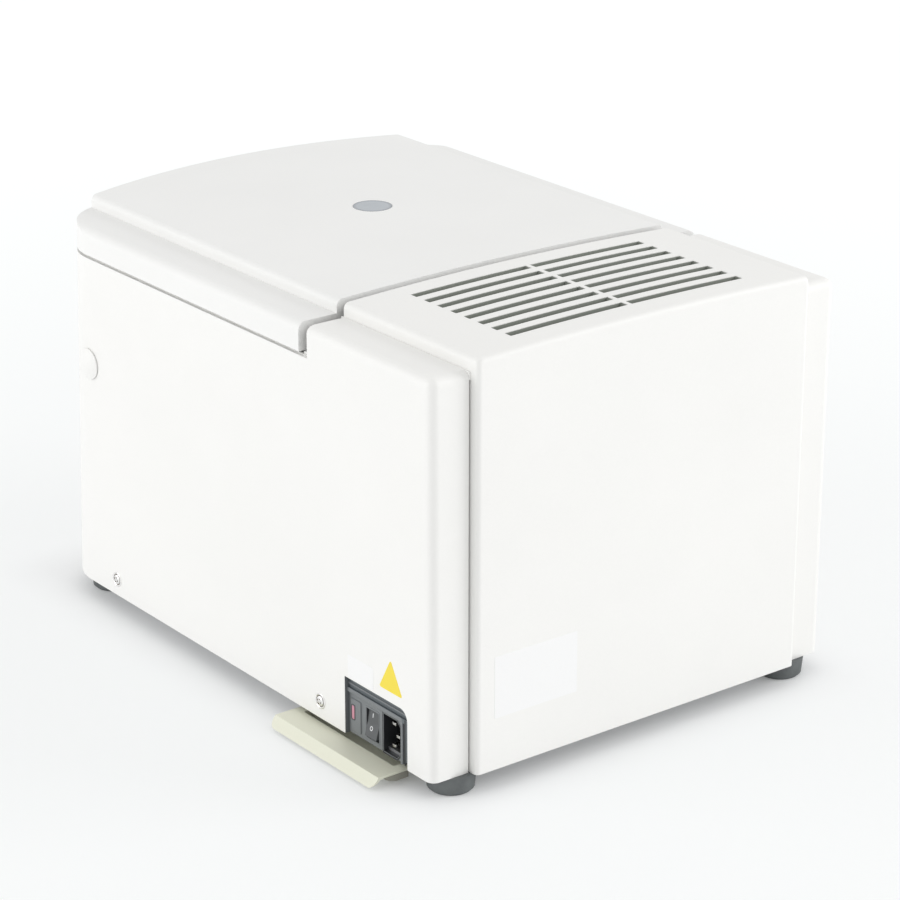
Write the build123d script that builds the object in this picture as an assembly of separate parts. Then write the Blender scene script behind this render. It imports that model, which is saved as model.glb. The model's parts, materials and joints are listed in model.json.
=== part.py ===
from build123d import *
import os
from math import cos, radians, sin, sqrt, tan

# Refrigerated bench microcentrifuge with a hinged lid, in millimetres.
# While it is modelled, y = 0 is the rear face, the front looks towards -y,
# x = 0 is the middle, z = 0 is the table and the mains inlet is on the +x side.

# Housing
half_width = 150.0  # outer face of a side cover
core_half_width = 123.0  # raised middle of the lid and of the rear cover
foot_height = 12.0  # underside of the housing
deck_height = 262.0  # raised middle at its side edges
ledge_drop = 8.0  # low strips beside the raised middle
ledge_height = deck_height - ledge_drop
crown = 2.5  # rise of the raised middle at x = 0
front_reach = 430.0  # from the rear face to the middle of the front, at its foot
front_lean = 3.07  # degrees that the front leans back
front_bow_radius = 488.0  # bowed front in plan
corner_radius = 40.0  # front corners in plan
side_setback = 6.4  # the side covers stop short of the rear face
wall = 3.0  # moulded walls
cover_gap = 1.2  # seam between the middle covers and the side covers
fit_gap = 0.4  # clearance of a piece that sits inside the covers
ledge_edge_round = 5.5
step_edge_round = 4.0
rear_edge_round = 3.0
return_flange = 9.0  # depth of the rear cover's side returns
skirt_depth = 22.0  # how far the rear cover's skirts hang below the deck

# Lid and the gap behind it
lid_depth = 25.5  # from the raised middle's side edges down to the lid's lower edge
lid_underside = deck_height - lid_depth
seam_gap = 2.0  # between the lid's lower edge and the side covers
deck_front_reach = 127.0  # from the rear face to the deck's front edge at x = 0
gap_sag = 1.0  # how far that edge falls back at the sides
rear_gap = 5.5  # between the lid and the deck
deck_front_round = 2.0
liner_thickness = 3.0
liner_gap = 0.2
hinge_reach = deck_front_reach - 14.0  # hinge axis, from the rear face
hinge_height = deck_height - 10.0
hinge_spread = 95.0  # each arm's middle, from x = 0
hinge_pin_radius = 3.0
running_gap = 0.05
hub_radius = 6.5
arm_width = 11.4
arm_thickness = 4.0
arm_reach = 67.0  # flat part of an arm, ahead of the hinge axis
ear_thickness = 2.5
ear_gap = 0.3

# Air grille in the deck
slot_count = 8
slot_pitch = 12.4
slot_width = 6.0
slot_half_length = 86.0
slot_rib = 2.8  # rib that splits each slot at x = 0
slot_end_round = 0.6
grille_wall = 1.2  # the deck is thinner round the slots
last_slot_reach = 21.2  # rearmost slot, from the rear face

# Rotor chamber
rotor_reach = 266.0  # rotor axis, from the rear face
bowl_radius = 96.0
bowl_wall = 1.5
bowl_rim_width = 12.0
bowl_floor_round = 14.0
deck_plate_height = lid_underside - 5.0  # top of the plate under the lid
bowl_floor = deck_plate_height - 95.5
deck_plate_thickness = 3.0
deck_plate_rear = hinge_reach - 13.0  # rear edge of that plate, from the rear face
seal_gap = 0.3
seal_width = 6.0
foam_thickness = 16.0
foam_corner_round = 90.0
window_radius = 12.3
light_pipe_radius = 9.0

# Rotor and drive
rotor_radius = 86.0
rotor_base = bowl_floor + 10.0
rotor_rim = rotor_base + 58.0
tube_count = 18
tube_radius = 5.5
tube_depth = 38.0
tube_tilt = 45.0
tube_mouth_radius = 50.0  # middle of a tube hole's mouth, from the axis
tube_mouth_height = rotor_rim - 14.0
hub_top = rotor_rim - 18.0
shaft_radius = 6.0
shaft_top = rotor_rim - 6.0
collar_radius = 22.0  # hole in the bowl's floor
motor_radius = 55.0
motor_base = 40.0
motor_top = bowl_floor - 18.0
damper_count = 3
damper_radius = 11.0
damper_circle = 72.0
rotor_lid_radius = 80.0
rotor_lid_thickness = 5.0
knob_radius = 17.0
knob_height = 21.0

# Control panel in the front
panel_half_width = 78.0
panel_height = 60.0
panel_middle_height = lid_underside - 61.5
panel_thickness = 3.0
panel_gap = 0.3
display_width = 92.0
display_height = 20.0
display_rise = 13.0  # middle of the display above the panel's middle
key_travel = 1.0
key_proud = 1.2
key_gap = 0.3
key_round = 1.5
arrow_key = (10.0, 7.0)
arrow_key_drop = 4.0
function_key = (24.0, 9.0)
function_key_drop = 18.0
key_flange = 0.8
key_stem_radius = 2.0
grip_half_width = 48.0
grip_depth = 22.0
grip_height = 22.0

# Latch
latch_reach = 366.0  # pivot and side plug, from the rear face
latch_height = lid_underside - 72.5
latch_bow = 26.0  # how far the hook arms pass ahead of their pivots
latch_bar = (6.0, 10.0)  # bar between the arms
latch_spread = 100.0
latch_arm_thickness = 4.0
latch_shaft_radius = 4.0
latch_swing = 10.0  # degrees from released to latched
striker_radius = 2.5
striker_height = lid_underside + 5.7
plug_radius = 10.0
plug_stem_radius = 4.8
plug_dome = 2.2

# Mains inlet module on the +x side, places measured from the rear face
cutout_front = 90.5
cutout_rear = 29.5
cutout_top = 48.8
cutout_round = 7.0
module_front = 90.2
module_rear = 35.0
module_bottom = 12.6
module_top = 38.5
module_depth = 36.0
socket_middle = 48.0
socket_width = 16.8
socket_height = 24.0
socket_depth = 14.0
socket_chamfer = 4.0
socket_middle_height = 25.0
rocker_middle = 67.0
rocker_width = 11.0
rocker_height = 17.0
rocker_well_gap = 0.9
rocker_pivot_depth = 4.0
rocker_tilt = 11.0
rocker_pin_radius = 1.5
rocker_pin_reach = 1.2  # how far the pins enter the walls of the switch well
fuse_middle = 83.0
fuse_width = 9.0
fuse_height = 20.0
fuse_depth = 24.0
mains_pin_pitch = 7.0
mains_pin = (4.0, 2.0)
mains_pin_sink = 4.8  # the pins end behind the module's face

# Condensate tray under the rear
tray_front = 141.5
tray_rear = 37.5
tray_reach = 164.7  # crease of the lip, from x = 0
tray_inner_end = 22.0
tray_top = 8.5
tray_floor = 2.2
tray_skin = 1.8
tray_rim = 7.0
lip_run = 4.6
lip_drop = 6.3
lip_end_round = 4.5
web_drop = 3.8  # end webs behind the lip
web_run = 21.2
runner_width = 3.0
runner_setback = 21.0  # the runners end short of the side cover, clear of the webs

# Feet, screws and inner parts
foot_radius = 14.9
foot_spread = 127.8
rear_foot_reach = 18.0
front_foot_reach = 384.0
screw_head_radius = 5.0
screw_head_height = 1.1
screw_radius = 2.0
screw_height = 23.2
front_screw_reach = 343.0
rear_screw_reach = 115.4
bulkhead_reach = 144.0
bulkhead_thickness = 2.0
pan_thickness = 3.0
pan_rim = 12.0
compressor_radius = 48.0
compressor_spot = (-72.0, -76.0)
compressor_height = 118.0
compressor_foot = 6.0
shroud_half_width = 94.0
shroud_floor = lid_underside - 48.5
shroud_rise = 34.0
fan_radius = 47.0
fan_tip_gap = 2.5
fan_depth = 20.0
fan_hub_radius = 17.0
fan_axle_radius = 2.5
blade_count = 7
condenser_height = 26.0
condenser_gap = 2.4
header_width = 8.0
fin_count = 15
power_board_reach = 369.0
power_board_half = (88.0, 23.0)
power_board_stand = 6.0
power_part_height = 34.4
lid_screw_radius = 3.5

cover_top = lid_underside - seam_gap
rotor_y = -rotor_reach
hinge_y = -hinge_reach
latch_y = -latch_reach
axis_of_x = (0, 90, 0)


def block(x0, x1, y0, y1, z0, z1):
    """Box between two corners."""
    middle = Pos((x0 + x1) / 2, (y0 + y1) / 2, (z0 + z1) / 2)
    return middle * Box(abs(x1 - x0), abs(y1 - y0), abs(z1 - z0))


def upright(radius, x, y, z0, z1):
    """Cylinder along z."""
    return Pos(x, y, (z0 + z1) / 2) * Cylinder(radius, z1 - z0)


def crosswise(radius, x0, x1, y, z):
    """Cylinder along x."""
    return Pos((x0 + x1) / 2, y, z) * Rotation(*axis_of_x) * Cylinder(radius, x1 - x0)


def turned(points, x=0.0, y=0.0):
    """Solid of revolution about an upright axis, from a closed outline of radius and height."""
    outline = Plane.XZ * make_face(Polyline(*points, close=True))
    return Pos(x, y, 0) * revolve(outline, Axis.Z)


def both_sides(solid):
    """A solid and its mirror image across x = 0."""
    return [solid, mirror(solid, Plane.YZ)]


def group(solids):
    """Separate solids kept as one compound."""
    return Compound(list(solids))


def front_y(height):
    """Middle of the leaning front at a height."""
    return -front_reach + (height - foot_height) * tan(radians(front_lean))


def bow(x):
    """How far the bowed front falls back at a distance from the middle."""
    return front_bow_radius - sqrt(front_bow_radius**2 - x**2)


def plan_prism(inset, bottom, top):
    """Leaning prism on the plan outline, drawn in by an inset."""
    sides = Pos(0, -2 * half_width) * Rectangle(2 * (half_width - inset), 6 * half_width)
    front = Pos(0, front_y(bottom) + front_bow_radius) * Circle(front_bow_radius - inset)
    outline = sides & front
    corners = outline.vertices().sort_by(Axis.Y)[:2]
    outline = fillet(corners, corner_radius - inset)
    lean = (0, sin(radians(front_lean)), cos(radians(front_lean)))
    length = (top - bottom) / cos(radians(front_lean))
    return Pos(0, 0, bottom) * extrude(outline, length, dir=lean)


def section_face(inset, rounded):
    """Cross-section of the housing: low strips at the sides and a crowned middle."""
    side, ledge = half_width - inset, ledge_height - inset
    core, top = core_half_width - inset, deck_height - inset
    below = foot_height - wall
    left = Polyline((-core, top), (-core, ledge), (-side, ledge), (-side, below), (side, below),
                    (side, ledge), (core, ledge), (core, top))
    face = make_face(left + ThreePointArc((core, top), (0, top + crown), (-core, top)))
    if rounded:
        face = fillet([v for v in face.vertices() if abs(v.Y - top) < 0.01], step_edge_round)
        outer = [v for v in face.vertices() if abs(v.Y - ledge) < 0.01 and abs(v.X) > core + 1]
        face = fillet(outer, ledge_edge_round)
    return Plane.XZ * face


def housing(inset=0.0, rear=0.0, bottom=foot_height, rounded=False):
    """Whole outer form, drawn in by an inset, from a rear plane to the front."""
    length = front_reach + 2 * wall
    bar = Pos(0, -rear, 0) * extrude(section_face(inset, rounded), length)
    return bar & plan_prism(inset, bottom, deck_height + 2 * crown)


def behind_gap(reach):
    """Everything behind the bowed edge that crosses the top at a distance from the rear face."""
    half = core_half_width + cover_gap / 2
    radius = (half**2 + gap_sag**2) / (2 * gap_sag)
    straight = reach - gap_sag
    span = straight + wall
    strip = Pos(0, wall - span / 2) * Rectangle(3 * half_width, span)
    bulge = Pos(0, radius - reach) * Circle(radius)
    window = Pos(0, -straight - gap_sag / 2) * Rectangle(2 * half, gap_sag)
    return extrude(strip + (bulge & window), 2 * deck_height)


def ahead(reach, bottom=0.0):
    """Everything ahead of a plane across the housing, above a height."""
    return block(-half_width * 2, half_width * 2, -front_reach - wall * 4, -reach, bottom, deck_height * 2)


def side_slab(x0, x1):
    return block(x0, x1, -front_reach - 4 * wall, wall, 0, 2 * deck_height)


def make_rear_cover():
    """Rear wall and slotted deck in one moulding, with returns and hanging skirts at the sides."""
    outer = housing(rounded=True) & side_slab(-core_half_width, core_half_width)
    outer = outer & behind_gap(deck_front_reach)
    rear_edges = [e for e in outer.edges().filter_by(lambda e: abs(e.center().Y) < 0.01)
                  if e.center().Z > foot_height + 1]
    outer = fillet(rear_edges, rear_edge_round)
    front_edges = [e for e in outer.edges() if e.center().Y < gap_sag * 2 - deck_front_reach
                   and e.center().Z > ledge_height + 1 and abs(e.center().X) < core_half_width - 1
                   and abs(e.tangent_at(0.5).Y) < 0.5]
    outer = fillet(front_edges, deck_front_round)
    inner = housing(wall, rear=wall, bottom=foot_height - wall)
    inner = inner & side_slab(-core_half_width + wall, core_half_width - wall)
    solid = outer - inner
    solid -= block(-half_width, half_width, -deck_front_reach - wall, -return_flange,
                   0, deck_height - skirt_depth)
    rows = (slot_count - 1) * slot_pitch
    thinned = block(-slot_half_length - wall, slot_half_length + wall, -last_slot_reach - rows - slot_width,
                    -last_slot_reach + slot_width, deck_height - 2 * wall, deck_height + 2 * crown)
    solid -= housing(grille_wall, rear=wall) & thinned
    for i in range(slot_count):
        y = -last_slot_reach - i * slot_pitch
        length = slot_half_length - slot_rib / 2
        slot = RectangleRounded(length, slot_width, slot_end_round)
        for side in (-1, 1):
            place = Pos(side * (slot_rib + length) / 2, y, deck_height - 2 * wall)
            solid -= place * extrude(slot, 4 * wall)
    return solid


def make_side_cover():
    """Cover of the +x side: side wall, low top strip, rear return and rounded front corner."""
    inner_edge = core_half_width + cover_gap
    outer = housing(rear=side_setback, rounded=True) & side_slab(inner_edge, 2 * half_width)
    outer -= ahead(deck_front_reach - gap_sag, cover_top)
    rear_corner = [e for e in outer.edges().filter_by(Axis.Z)
                   if abs(e.center().X - half_width) < 0.01 and e.center().Y > -side_setback - 1]
    outer = fillet(rear_corner, ledge_edge_round)
    gap_edge = [e for e in outer.edges().filter_by(Axis.X) if abs(e.center().Z - ledge_height) < 0.01
                and abs(e.center().Y + deck_front_reach - gap_sag) < 0.01]
    outer = fillet(gap_edge, step_edge_round)
    return outer - housing(wall, rear=side_setback + wall, bottom=foot_height - wall)


def screw_seats(side):
    """Places of the side screws: x of the outer face, y, z."""
    return [(side * half_width, -reach, screw_height) for reach in (front_screw_reach, rear_screw_reach)]


def make_screw(side, y):
    """Raised countersunk screw with its cup washer, pointing into the housing."""
    head = [(0, 0), (screw_head_radius, 0), (screw_head_radius - 0.6, 0.7), (1.6, screw_head_height),
            (0, screw_head_height)]
    shank = [(0, -8), (screw_radius, -8), (screw_radius, 0), (0, 0)]
    solid = turned(head) + turned(shank)
    return Pos(side * half_width, y, screw_height) * Rotation(0, 90 * side, 0) * solid


def make_side_covers():
    plain = make_side_cover()
    for _, y, z in screw_seats(1):
        plain -= crosswise(screw_radius + 0.1, half_width - 2 * wall, half_width + wall, y, z)
    left = mirror(plain, Plane.YZ)
    right = plain - crosswise(plug_stem_radius + 0.2, half_width - 2 * wall, half_width + wall,
                              latch_y, latch_height)
    cut = block(half_width - 2 * wall, half_width + wall, -cutout_front, -cutout_rear,
                foot_height - wall, cutout_top)
    top_rear = [e for e in cut.edges().filter_by(Axis.X)
                if e.center().Z > cutout_top - 1 and e.center().Y > -cutout_rear - 1]
    return right - fillet(top_rear, cutout_round), left


panel_sink = bow(panel_half_width)  # the flat panel meets the bowed front at its ends
panel_face_y = front_y(panel_middle_height) + panel_sink
panel_place = Plane(origin=(0, panel_face_y, panel_middle_height), x_dir=(1, 0, 0),
                    z_dir=(0, -cos(radians(front_lean)), sin(radians(front_lean)))).location


def panel_box(half_x, low, high, back, out):
    """Box in the panel's own frame: x, height up the panel, distance out of its face."""
    return panel_place * block(-half_x, half_x, low, high, back, out)


def grip_space(gap):
    """Room for the grip insert below the lid's front edge."""
    y = front_y(cover_top)
    return block(-grip_half_width - gap, grip_half_width + gap, y - 3 * wall, y + grip_depth,
                 cover_top - grip_height - gap, cover_top + wall)


def make_front_fascia():
    """Bowed front wall with openings for the control panel and the grip."""
    shell = housing() - housing(wall, bottom=foot_height - wall)
    shell = shell & side_slab(-core_half_width, core_half_width)
    shell = shell & ahead(latch_reach)
    shell -= ahead(0, cover_top)
    shell -= panel_box(panel_half_width, -panel_height / 2, panel_height / 2, -20, 20)
    return shell - grip_space(panel_gap)


def make_grip_recess():
    """Scooped pocket for the fingers that lift the lid."""
    body = (housing() & grip_space(0)) - ahead(0, cover_top)
    y = front_y(cover_top)
    scoop = block(-grip_half_width + wall, grip_half_width - wall, y - 4 * wall, y + grip_depth - wall,
                  cover_top - grip_height + wall, cover_top + wall * 5)
    inner = [e for e in scoop.edges().filter_by(Axis.X)
             if e.center().Y > y and e.center().Z < cover_top]
    return body - fillet(inner, grip_depth / 3)


def key_places():
    """Name, size and place on the panel of every key."""
    keys = []
    names = ("temperature_down", "temperature_up", "time_down", "time_up", "speed_down", "speed_up")
    for i, name in enumerate(names):
        pair, member = divmod(i, 2)
        x = (pair - 1) * display_width / 3 + (member - 0.5) * (arrow_key[0] + 3)
        keys.append((name + "_key", arrow_key, x, -arrow_key_drop))
    for i, name in enumerate(("open", "short_spin", "start_stop")):
        keys.append((name + "_key", function_key, (i - 1) * display_width / 3, -function_key_drop))
    return keys


def key_prism(size, x, rise, grow, back, out):
    """Rounded prism on the panel at a key's place."""
    face = RectangleRounded(size[0] + 2 * grow, size[1] + 2 * grow, key_round)
    return panel_place * Pos(x, rise, back) * extrude(face, out - back)


def make_key(size, x, rise):
    """Cap that passes through the panel, with a flange behind it and a stem."""
    back = -panel_thickness - key_gap
    cap = key_prism(size, x, rise, 0, back - key_flange, key_proud)
    top = cap.faces().sort_by(Axis.Y)[0]
    cap = fillet(top.edges(), 0.5)
    flange = key_prism(size, x, rise, 1.0, back - key_flange, back)
    stem = panel_place * Pos(x, rise, back - key_flange - 0.75) * Cylinder(key_stem_radius, 1.5)
    return cap + flange + stem


board_depth = panel_thickness + key_gap + key_flange + 1.5 + key_travel + 1.3
switch_height = 1.0


def make_control_panel():
    """Flat panel with crescent rims that fill the bowed front above and below it."""
    half_height = panel_height / 2 - panel_gap
    solid = housing() & panel_box(panel_half_width - panel_gap, -half_height, half_height, -20, 20)
    solid -= panel_box(panel_half_width * 2, -half_height + wall, half_height - wall, 0, 40)
    solid -= panel_box(panel_half_width * 2, -panel_height, panel_height, -40, -panel_thickness)
    solid -= panel_box(display_width / 2 + panel_gap, display_rise - display_height / 2 - panel_gap,
                       display_rise + display_height / 2 + panel_gap, -20, 20)
    for _, size, x, rise in key_places():
        solid -= key_prism(size, x, rise, key_gap, -20, 20)
    for x in (-1, 1):
        for v in (-1, 1):
            spot = panel_place * Pos(x * (panel_half_width - 5), v * (half_height - 5),
                                     -(panel_thickness + board_depth) / 2)
            solid += spot * Cylinder(2.5, board_depth - panel_thickness)
    return solid


def make_display_window():
    face = RectangleRounded(display_width, display_height, 1.5)
    return panel_place * Pos(0, display_rise, -panel_thickness) * extrude(face, panel_thickness)


def make_display_module():
    return panel_box(display_width / 2 - 2, display_rise - display_height / 2 + 1,
                     display_rise + display_height / 2 - 1, -board_depth, -panel_thickness - 0.2)


def make_control_board():
    board = panel_box(panel_half_width - 3, -panel_height / 2 + 3, panel_height / 2 - 3,
                      -board_depth - 1.6, -board_depth)
    for _, _, x, rise in key_places():
        board += panel_place * Pos(x, rise, -board_depth + switch_height / 2) * Box(6, 6, switch_height)
    return board


def make_base_pan():
    """Floor of the housing: a shallow pan with a turned-up rim."""
    rear = side_setback + wall + fit_gap
    inset = wall + fit_gap
    outer = plan_prism(inset, foot_height, foot_height + pan_rim) & ahead(rear)
    inner = plan_prism(inset + 2, foot_height + pan_thickness, foot_height + pan_rim * 2)
    pan = outer - (inner & ahead(rear + 2))
    pan -= block(half_width - wall - 3.3, half_width * 2, -cutout_front - 6, -cutout_rear + 6,
                 0, cutout_top)
    for side in (-1, 1):
        for _, y, z in screw_seats(side):
            pan -= crosswise(screw_radius + 0.1, side * half_width - 9, side * half_width + 9, y, z)
    return pan


def foot_spots():
    return [(side * foot_spread, -reach) for side in (-1, 1)
            for reach in (rear_foot_reach, front_foot_reach)]


def make_feet():
    """Rubber feet, slightly narrower at the floor."""
    profile = [(0, 0), (foot_radius - 2.5, 0), (foot_radius - 1, 1.5),
               (foot_radius, foot_height), (0, foot_height)]
    return group(turned(profile, x, y) for x, y in foot_spots())


def make_chamber_deck():
    """Plate under the lid, with the chamber's hole, latch slots and a wall behind the hinges."""
    low = deck_plate_height - deck_plate_thickness
    inset = wall + fit_gap
    body = housing(inset, rear=deck_plate_rear, bottom=low)
    body -= block(-half_width, half_width, -front_reach, -deck_plate_rear - wall,
                  deck_plate_height, deck_height * 2)
    body -= block(-half_width, half_width, -deck_plate_rear - wall * 2, 0,
                  hinge_height + hub_radius, deck_height * 2)
    for solid in both_sides(block(core_half_width - wall - fit_gap, core_half_width + cover_gap + fit_gap,
                                  -deck_front_reach, 0, deck_height - skirt_depth - fit_gap,
                                  deck_height * 2)):
        body -= solid
    body -= upright(bowl_radius + bowl_wall + fit_gap / 2, 0, rotor_y, 0, deck_height)
    slot = latch_slot(3.0)
    for solid in both_sides(slot):
        body -= solid
    y = front_y(cover_top)
    return body - block(-grip_half_width - fit_gap, grip_half_width + fit_gap, y - wall,
                        y + grip_depth + fit_gap, 0, deck_height)


def latch_slot(clear):
    """Room for a latch hook's swing on the +x side."""
    half = latch_arm_thickness / 2 + clear
    return block(latch_spread - half, latch_spread + half, latch_y - 34, latch_y + 11,
                 latch_height + 30, ledge_height)


def make_chamber_bowl():
    """Pressed steel bowl with a rounded floor corner, a centre collar and a flat rim."""
    rim = deck_plate_height + bowl_wall - 0.2
    outer_radius = bowl_radius + bowl_wall
    outline = [(collar_radius, bowl_floor - bowl_wall), (outer_radius, bowl_floor - bowl_wall),
               (outer_radius, deck_plate_height), (bowl_radius + bowl_rim_width, deck_plate_height),
               (bowl_radius + bowl_rim_width, rim), (bowl_radius, rim), (bowl_radius, bowl_floor),
               (collar_radius + bowl_wall, bowl_floor), (collar_radius + bowl_wall, bowl_floor + 3),
               (collar_radius, bowl_floor + 3)]
    face = make_face(Polyline(*outline, close=True))
    sharp = lambda x, y: [v for v in face.vertices() if abs(v.X - x) + abs(v.Y - y) < 0.01]
    face = fillet(sharp(bowl_radius, bowl_floor), bowl_floor_round)
    face = fillet(sharp(outer_radius, bowl_floor - bowl_wall), bowl_floor_round + bowl_wall)
    return Pos(0, rotor_y, 0) * revolve(Plane.XZ * face, Axis.Z)


def make_insulation():
    """Foam jacket around the bowl."""
    half = bowl_radius + foam_thickness
    low = bowl_floor - foam_thickness
    high = deck_plate_height - deck_plate_thickness
    outline = RectangleRounded(2 * half, 2 * half, foam_corner_round)
    foam = Pos(0, rotor_y, low) * extrude(outline, high - low)
    foam -= upright(bowl_radius + bowl_wall + 0.3, 0, rotor_y, bowl_floor - bowl_wall - 0.3, deck_height)
    return foam - upright(motor_radius + 3, 0, rotor_y, low - 1, bowl_floor)


def make_shaft_seal():
    """Rubber collar between the motor's neck and the bowl's floor."""
    return turned([(shaft_radius + 1, motor_top + 4), (collar_radius - 0.3, bowl_floor - 6),
                   (collar_radius - 0.3, bowl_floor + 2), (collar_radius - 3, bowl_floor + 2),
                   (collar_radius - 3, bowl_floor - 4), (shaft_radius + 1, motor_top + 8)], 0, rotor_y)


def make_drive_motor():
    """Ribbed motor can with a neck, bored for the shaft."""
    can = [(0, motor_base), (motor_radius, motor_base), (motor_radius, motor_top - 8),
           (motor_radius - 8, motor_top), (14, motor_top), (14, motor_top + 4), (0, motor_top + 4)]
    solid = turned(can, 0, rotor_y)
    for i in range(12):
        groove = Pos(motor_radius, 0, (motor_base + motor_top) / 2) * Box(4, 6, 44)
        solid -= Pos(0, rotor_y, 0) * Rotation(0, 0, 30 * i) * groove
    return solid - upright(shaft_radius + running_gap, 0, rotor_y, motor_base + 10, motor_top + 9)


def damper_spots():
    spots = []
    for i in range(damper_count):
        angle = radians(90 + 360 / damper_count * i)
        spots.append((damper_circle * cos(angle), rotor_y + damper_circle * sin(angle)))
    return spots


def make_motor_plate():
    """Three-armed plate that the motor stands on."""
    low = motor_base - 4
    plate = upright(motor_radius, 0, rotor_y, low, motor_base)
    for x, y in damper_spots():
        plate += upright(damper_radius + 3, x, y, low, motor_base)
    return plate


def make_dampers():
    """Rubber mounts between the base pan and the motor plate."""
    low = foot_height + pan_thickness
    high = motor_base - 4
    waist = (low + high) / 2
    profile = [(0, low), (damper_radius, low), (damper_radius - 2.5, waist), (damper_radius, high),
               (0, high)]
    return group(turned(profile, x, y) for x, y in damper_spots())


def make_motor_shaft():
    """Armature shaft that carries the rotor."""
    return turned([(0, motor_base + 11), (shaft_radius, motor_base + 11), (shaft_radius, hub_top - 6),
                   (shaft_radius - 2, hub_top), (shaft_radius - 2, shaft_top - 1),
                   (shaft_radius - 3, shaft_top), (0, shaft_top)], 0, rotor_y)


def make_rotor():
    """Fixed-angle rotor: a ring of slanted tube holes that open on a cone square to them."""
    slope = tan(radians(90 - tube_tilt))
    inner = (34.0, tube_mouth_height - (tube_mouth_radius - 34.0) * slope)
    rim_start = tube_mouth_radius + (rotor_rim - tube_mouth_height) / slope
    bore = shaft_radius + 0.02
    waist = rotor_rim - 36
    profile = [(bore, rotor_base), (rotor_radius - 24, rotor_base), (rotor_radius, waist),
               (rotor_radius, rotor_rim - 3), (rotor_radius - 3, rotor_rim), (rim_start, rotor_rim), inner,
               (30, inner[1] - 3), (20, inner[1] - 3), (17, hub_top - 6), (bore, hub_top - 6)]
    solid = turned(profile)
    hole = Pos(0, 0, tube_depth / 2) * Cylinder(tube_radius, tube_depth + 12)
    hole = Pos(0, 0, -6) * hole
    for i in range(tube_count):
        angle = 360 / tube_count * i
        place = Rotation(0, 0, angle) * Pos(tube_mouth_radius, 0, tube_mouth_height)
        solid -= place * Rotation(0, 180 - tube_tilt, 0) * hole
    return Pos(0, rotor_y, 0) * solid


def make_rotor_lid():
    """Flat dished cover of the rotor, with a boss down to the hub."""
    low = rotor_rim + 0.3
    top = low + rotor_lid_thickness
    profile = [(shaft_radius - 1.5, hub_top + 0.5), (13, hub_top + 0.5), (16, low - 4), (24, low),
               (rotor_lid_radius, low), (rotor_lid_radius, low + 2), (rotor_lid_radius - 8, top),
               (shaft_radius - 1.5, top)]
    return turned(profile, 0, rotor_y)


def make_rotor_knob():
    """Fluted knob whose spigot screws the rotor's cover down on the shaft."""
    low = rotor_rim + rotor_lid_thickness + 0.6
    top = low + knob_height
    spigot = shaft_radius - 1.8
    neck = knob_radius - 4
    profile = [(0, shaft_top + 0.3), (spigot, shaft_top + 0.3), (spigot, low), (neck, low),
               (neck, low + 4), (knob_radius, low + 7), (knob_radius, top - 2), (knob_radius - 2, top),
               (0, top)]
    solid = turned(profile)
    for i in range(10):
        flute = upright(2.2, knob_radius + 0.8, 0, low + 4, top + 1)
        solid -= Rotation(0, 0, 36 * i) * flute
    return Pos(0, rotor_y, 0) * solid


def make_lid_shell():
    """Lid moulding: crowned middle, low side strips and skirts, open below."""
    outer = housing(rounded=True) - behind_gap(deck_front_reach + rear_gap)
    outer -= block(-half_width * 2, half_width * 2, -front_reach * 2, wall, 0, lid_underside)
    inner = housing(wall) - behind_gap(deck_front_reach + rear_gap + wall)
    shell = outer - inner
    return shell - upright(window_radius + 0.2, 0, rotor_y, lid_underside, deck_height * 2)


def make_lid_liner():
    """Inner cover of the lid, with the light pipe's hole and the latch openings."""
    inset = wall + liner_gap
    liner = housing(inset, bottom=lid_underside) - behind_gap(deck_front_reach + rear_gap + inset)
    liner -= ahead(0, lid_underside + liner_thickness)
    liner -= upright(light_pipe_radius + 0.2, 0, rotor_y, 0, deck_height)
    for solid in both_sides(latch_slot(6.0)):
        liner -= solid
    return liner


def make_lid_seal():
    """Ring that closes on the bowl's rim."""
    rim = deck_plate_height + bowl_wall - 0.2
    inner = bowl_radius + (bowl_rim_width - seal_width) / 2
    low = rim + seal_gap
    profile = [(inner, lid_underside), (inner, low + 1), (inner + 1, low), (inner + seal_width - 1, low),
               (inner + seal_width, low + 1), (inner + seal_width, lid_underside)]
    return turned(profile, 0, rotor_y)


def make_lid_window():
    """Clear sight disc flush with the lid, on a light pipe down to the chamber."""
    top = deck_height + crown
    skin = top - wall
    profile = [(0, lid_underside), (light_pipe_radius, lid_underside), (light_pipe_radius, skin - 3),
               (window_radius + 2.5, skin - 3), (window_radius + 2.5, skin - 0.2),
               (window_radius, skin - 0.2), (window_radius, top), (0, top)]
    return turned(profile, 0, rotor_y)


def make_hinge_arms():
    """Goose-neck straps that carry the lid round the deck's front edge."""
    level = lid_underside - hinge_height - arm_thickness / 2
    path = Polyline((0, 0), (-7, level + 1), (-18, level), (-arm_reach, level))
    strap = trace(path, arm_thickness) + Circle(hub_radius)
    strap -= Circle(hinge_pin_radius + running_gap)
    arm = extrude(Plane.YZ * strap, arm_width / 2, both=True)
    return group(both_sides(Pos(hinge_spread, hinge_y, hinge_height) * arm))


def make_hinge_brackets():
    """Ears that stand on the chamber deck beside each arm."""
    rise = hinge_height - deck_plate_height
    ear = Circle(hub_radius) + Pos(0, -rise / 2) * Rectangle(2 * hub_radius, rise)
    ear -= Circle(hinge_pin_radius + 0.02)
    plate = extrude(Plane.YZ * ear, ear_thickness / 2, both=True)
    solids = []
    offset = arm_width / 2 + ear_gap + ear_thickness / 2
    for way in (-1, 1):
        place = Pos(hinge_spread + way * offset, hinge_y, hinge_height)
        toe = Pos(way * (ear_thickness / 2 + 3), 0, -rise + 1) * Box(6, 2 * hub_radius, 2)
        solids += both_sides(place * (plate + toe))
    return group(solids)


def make_hinge_pins():
    half = arm_width / 2 + ear_gap + ear_thickness + 0.5
    return group(both_sides(crosswise(hinge_pin_radius, hinge_spread - half, hinge_spread + half,
                                      hinge_y, hinge_height)))


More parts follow.
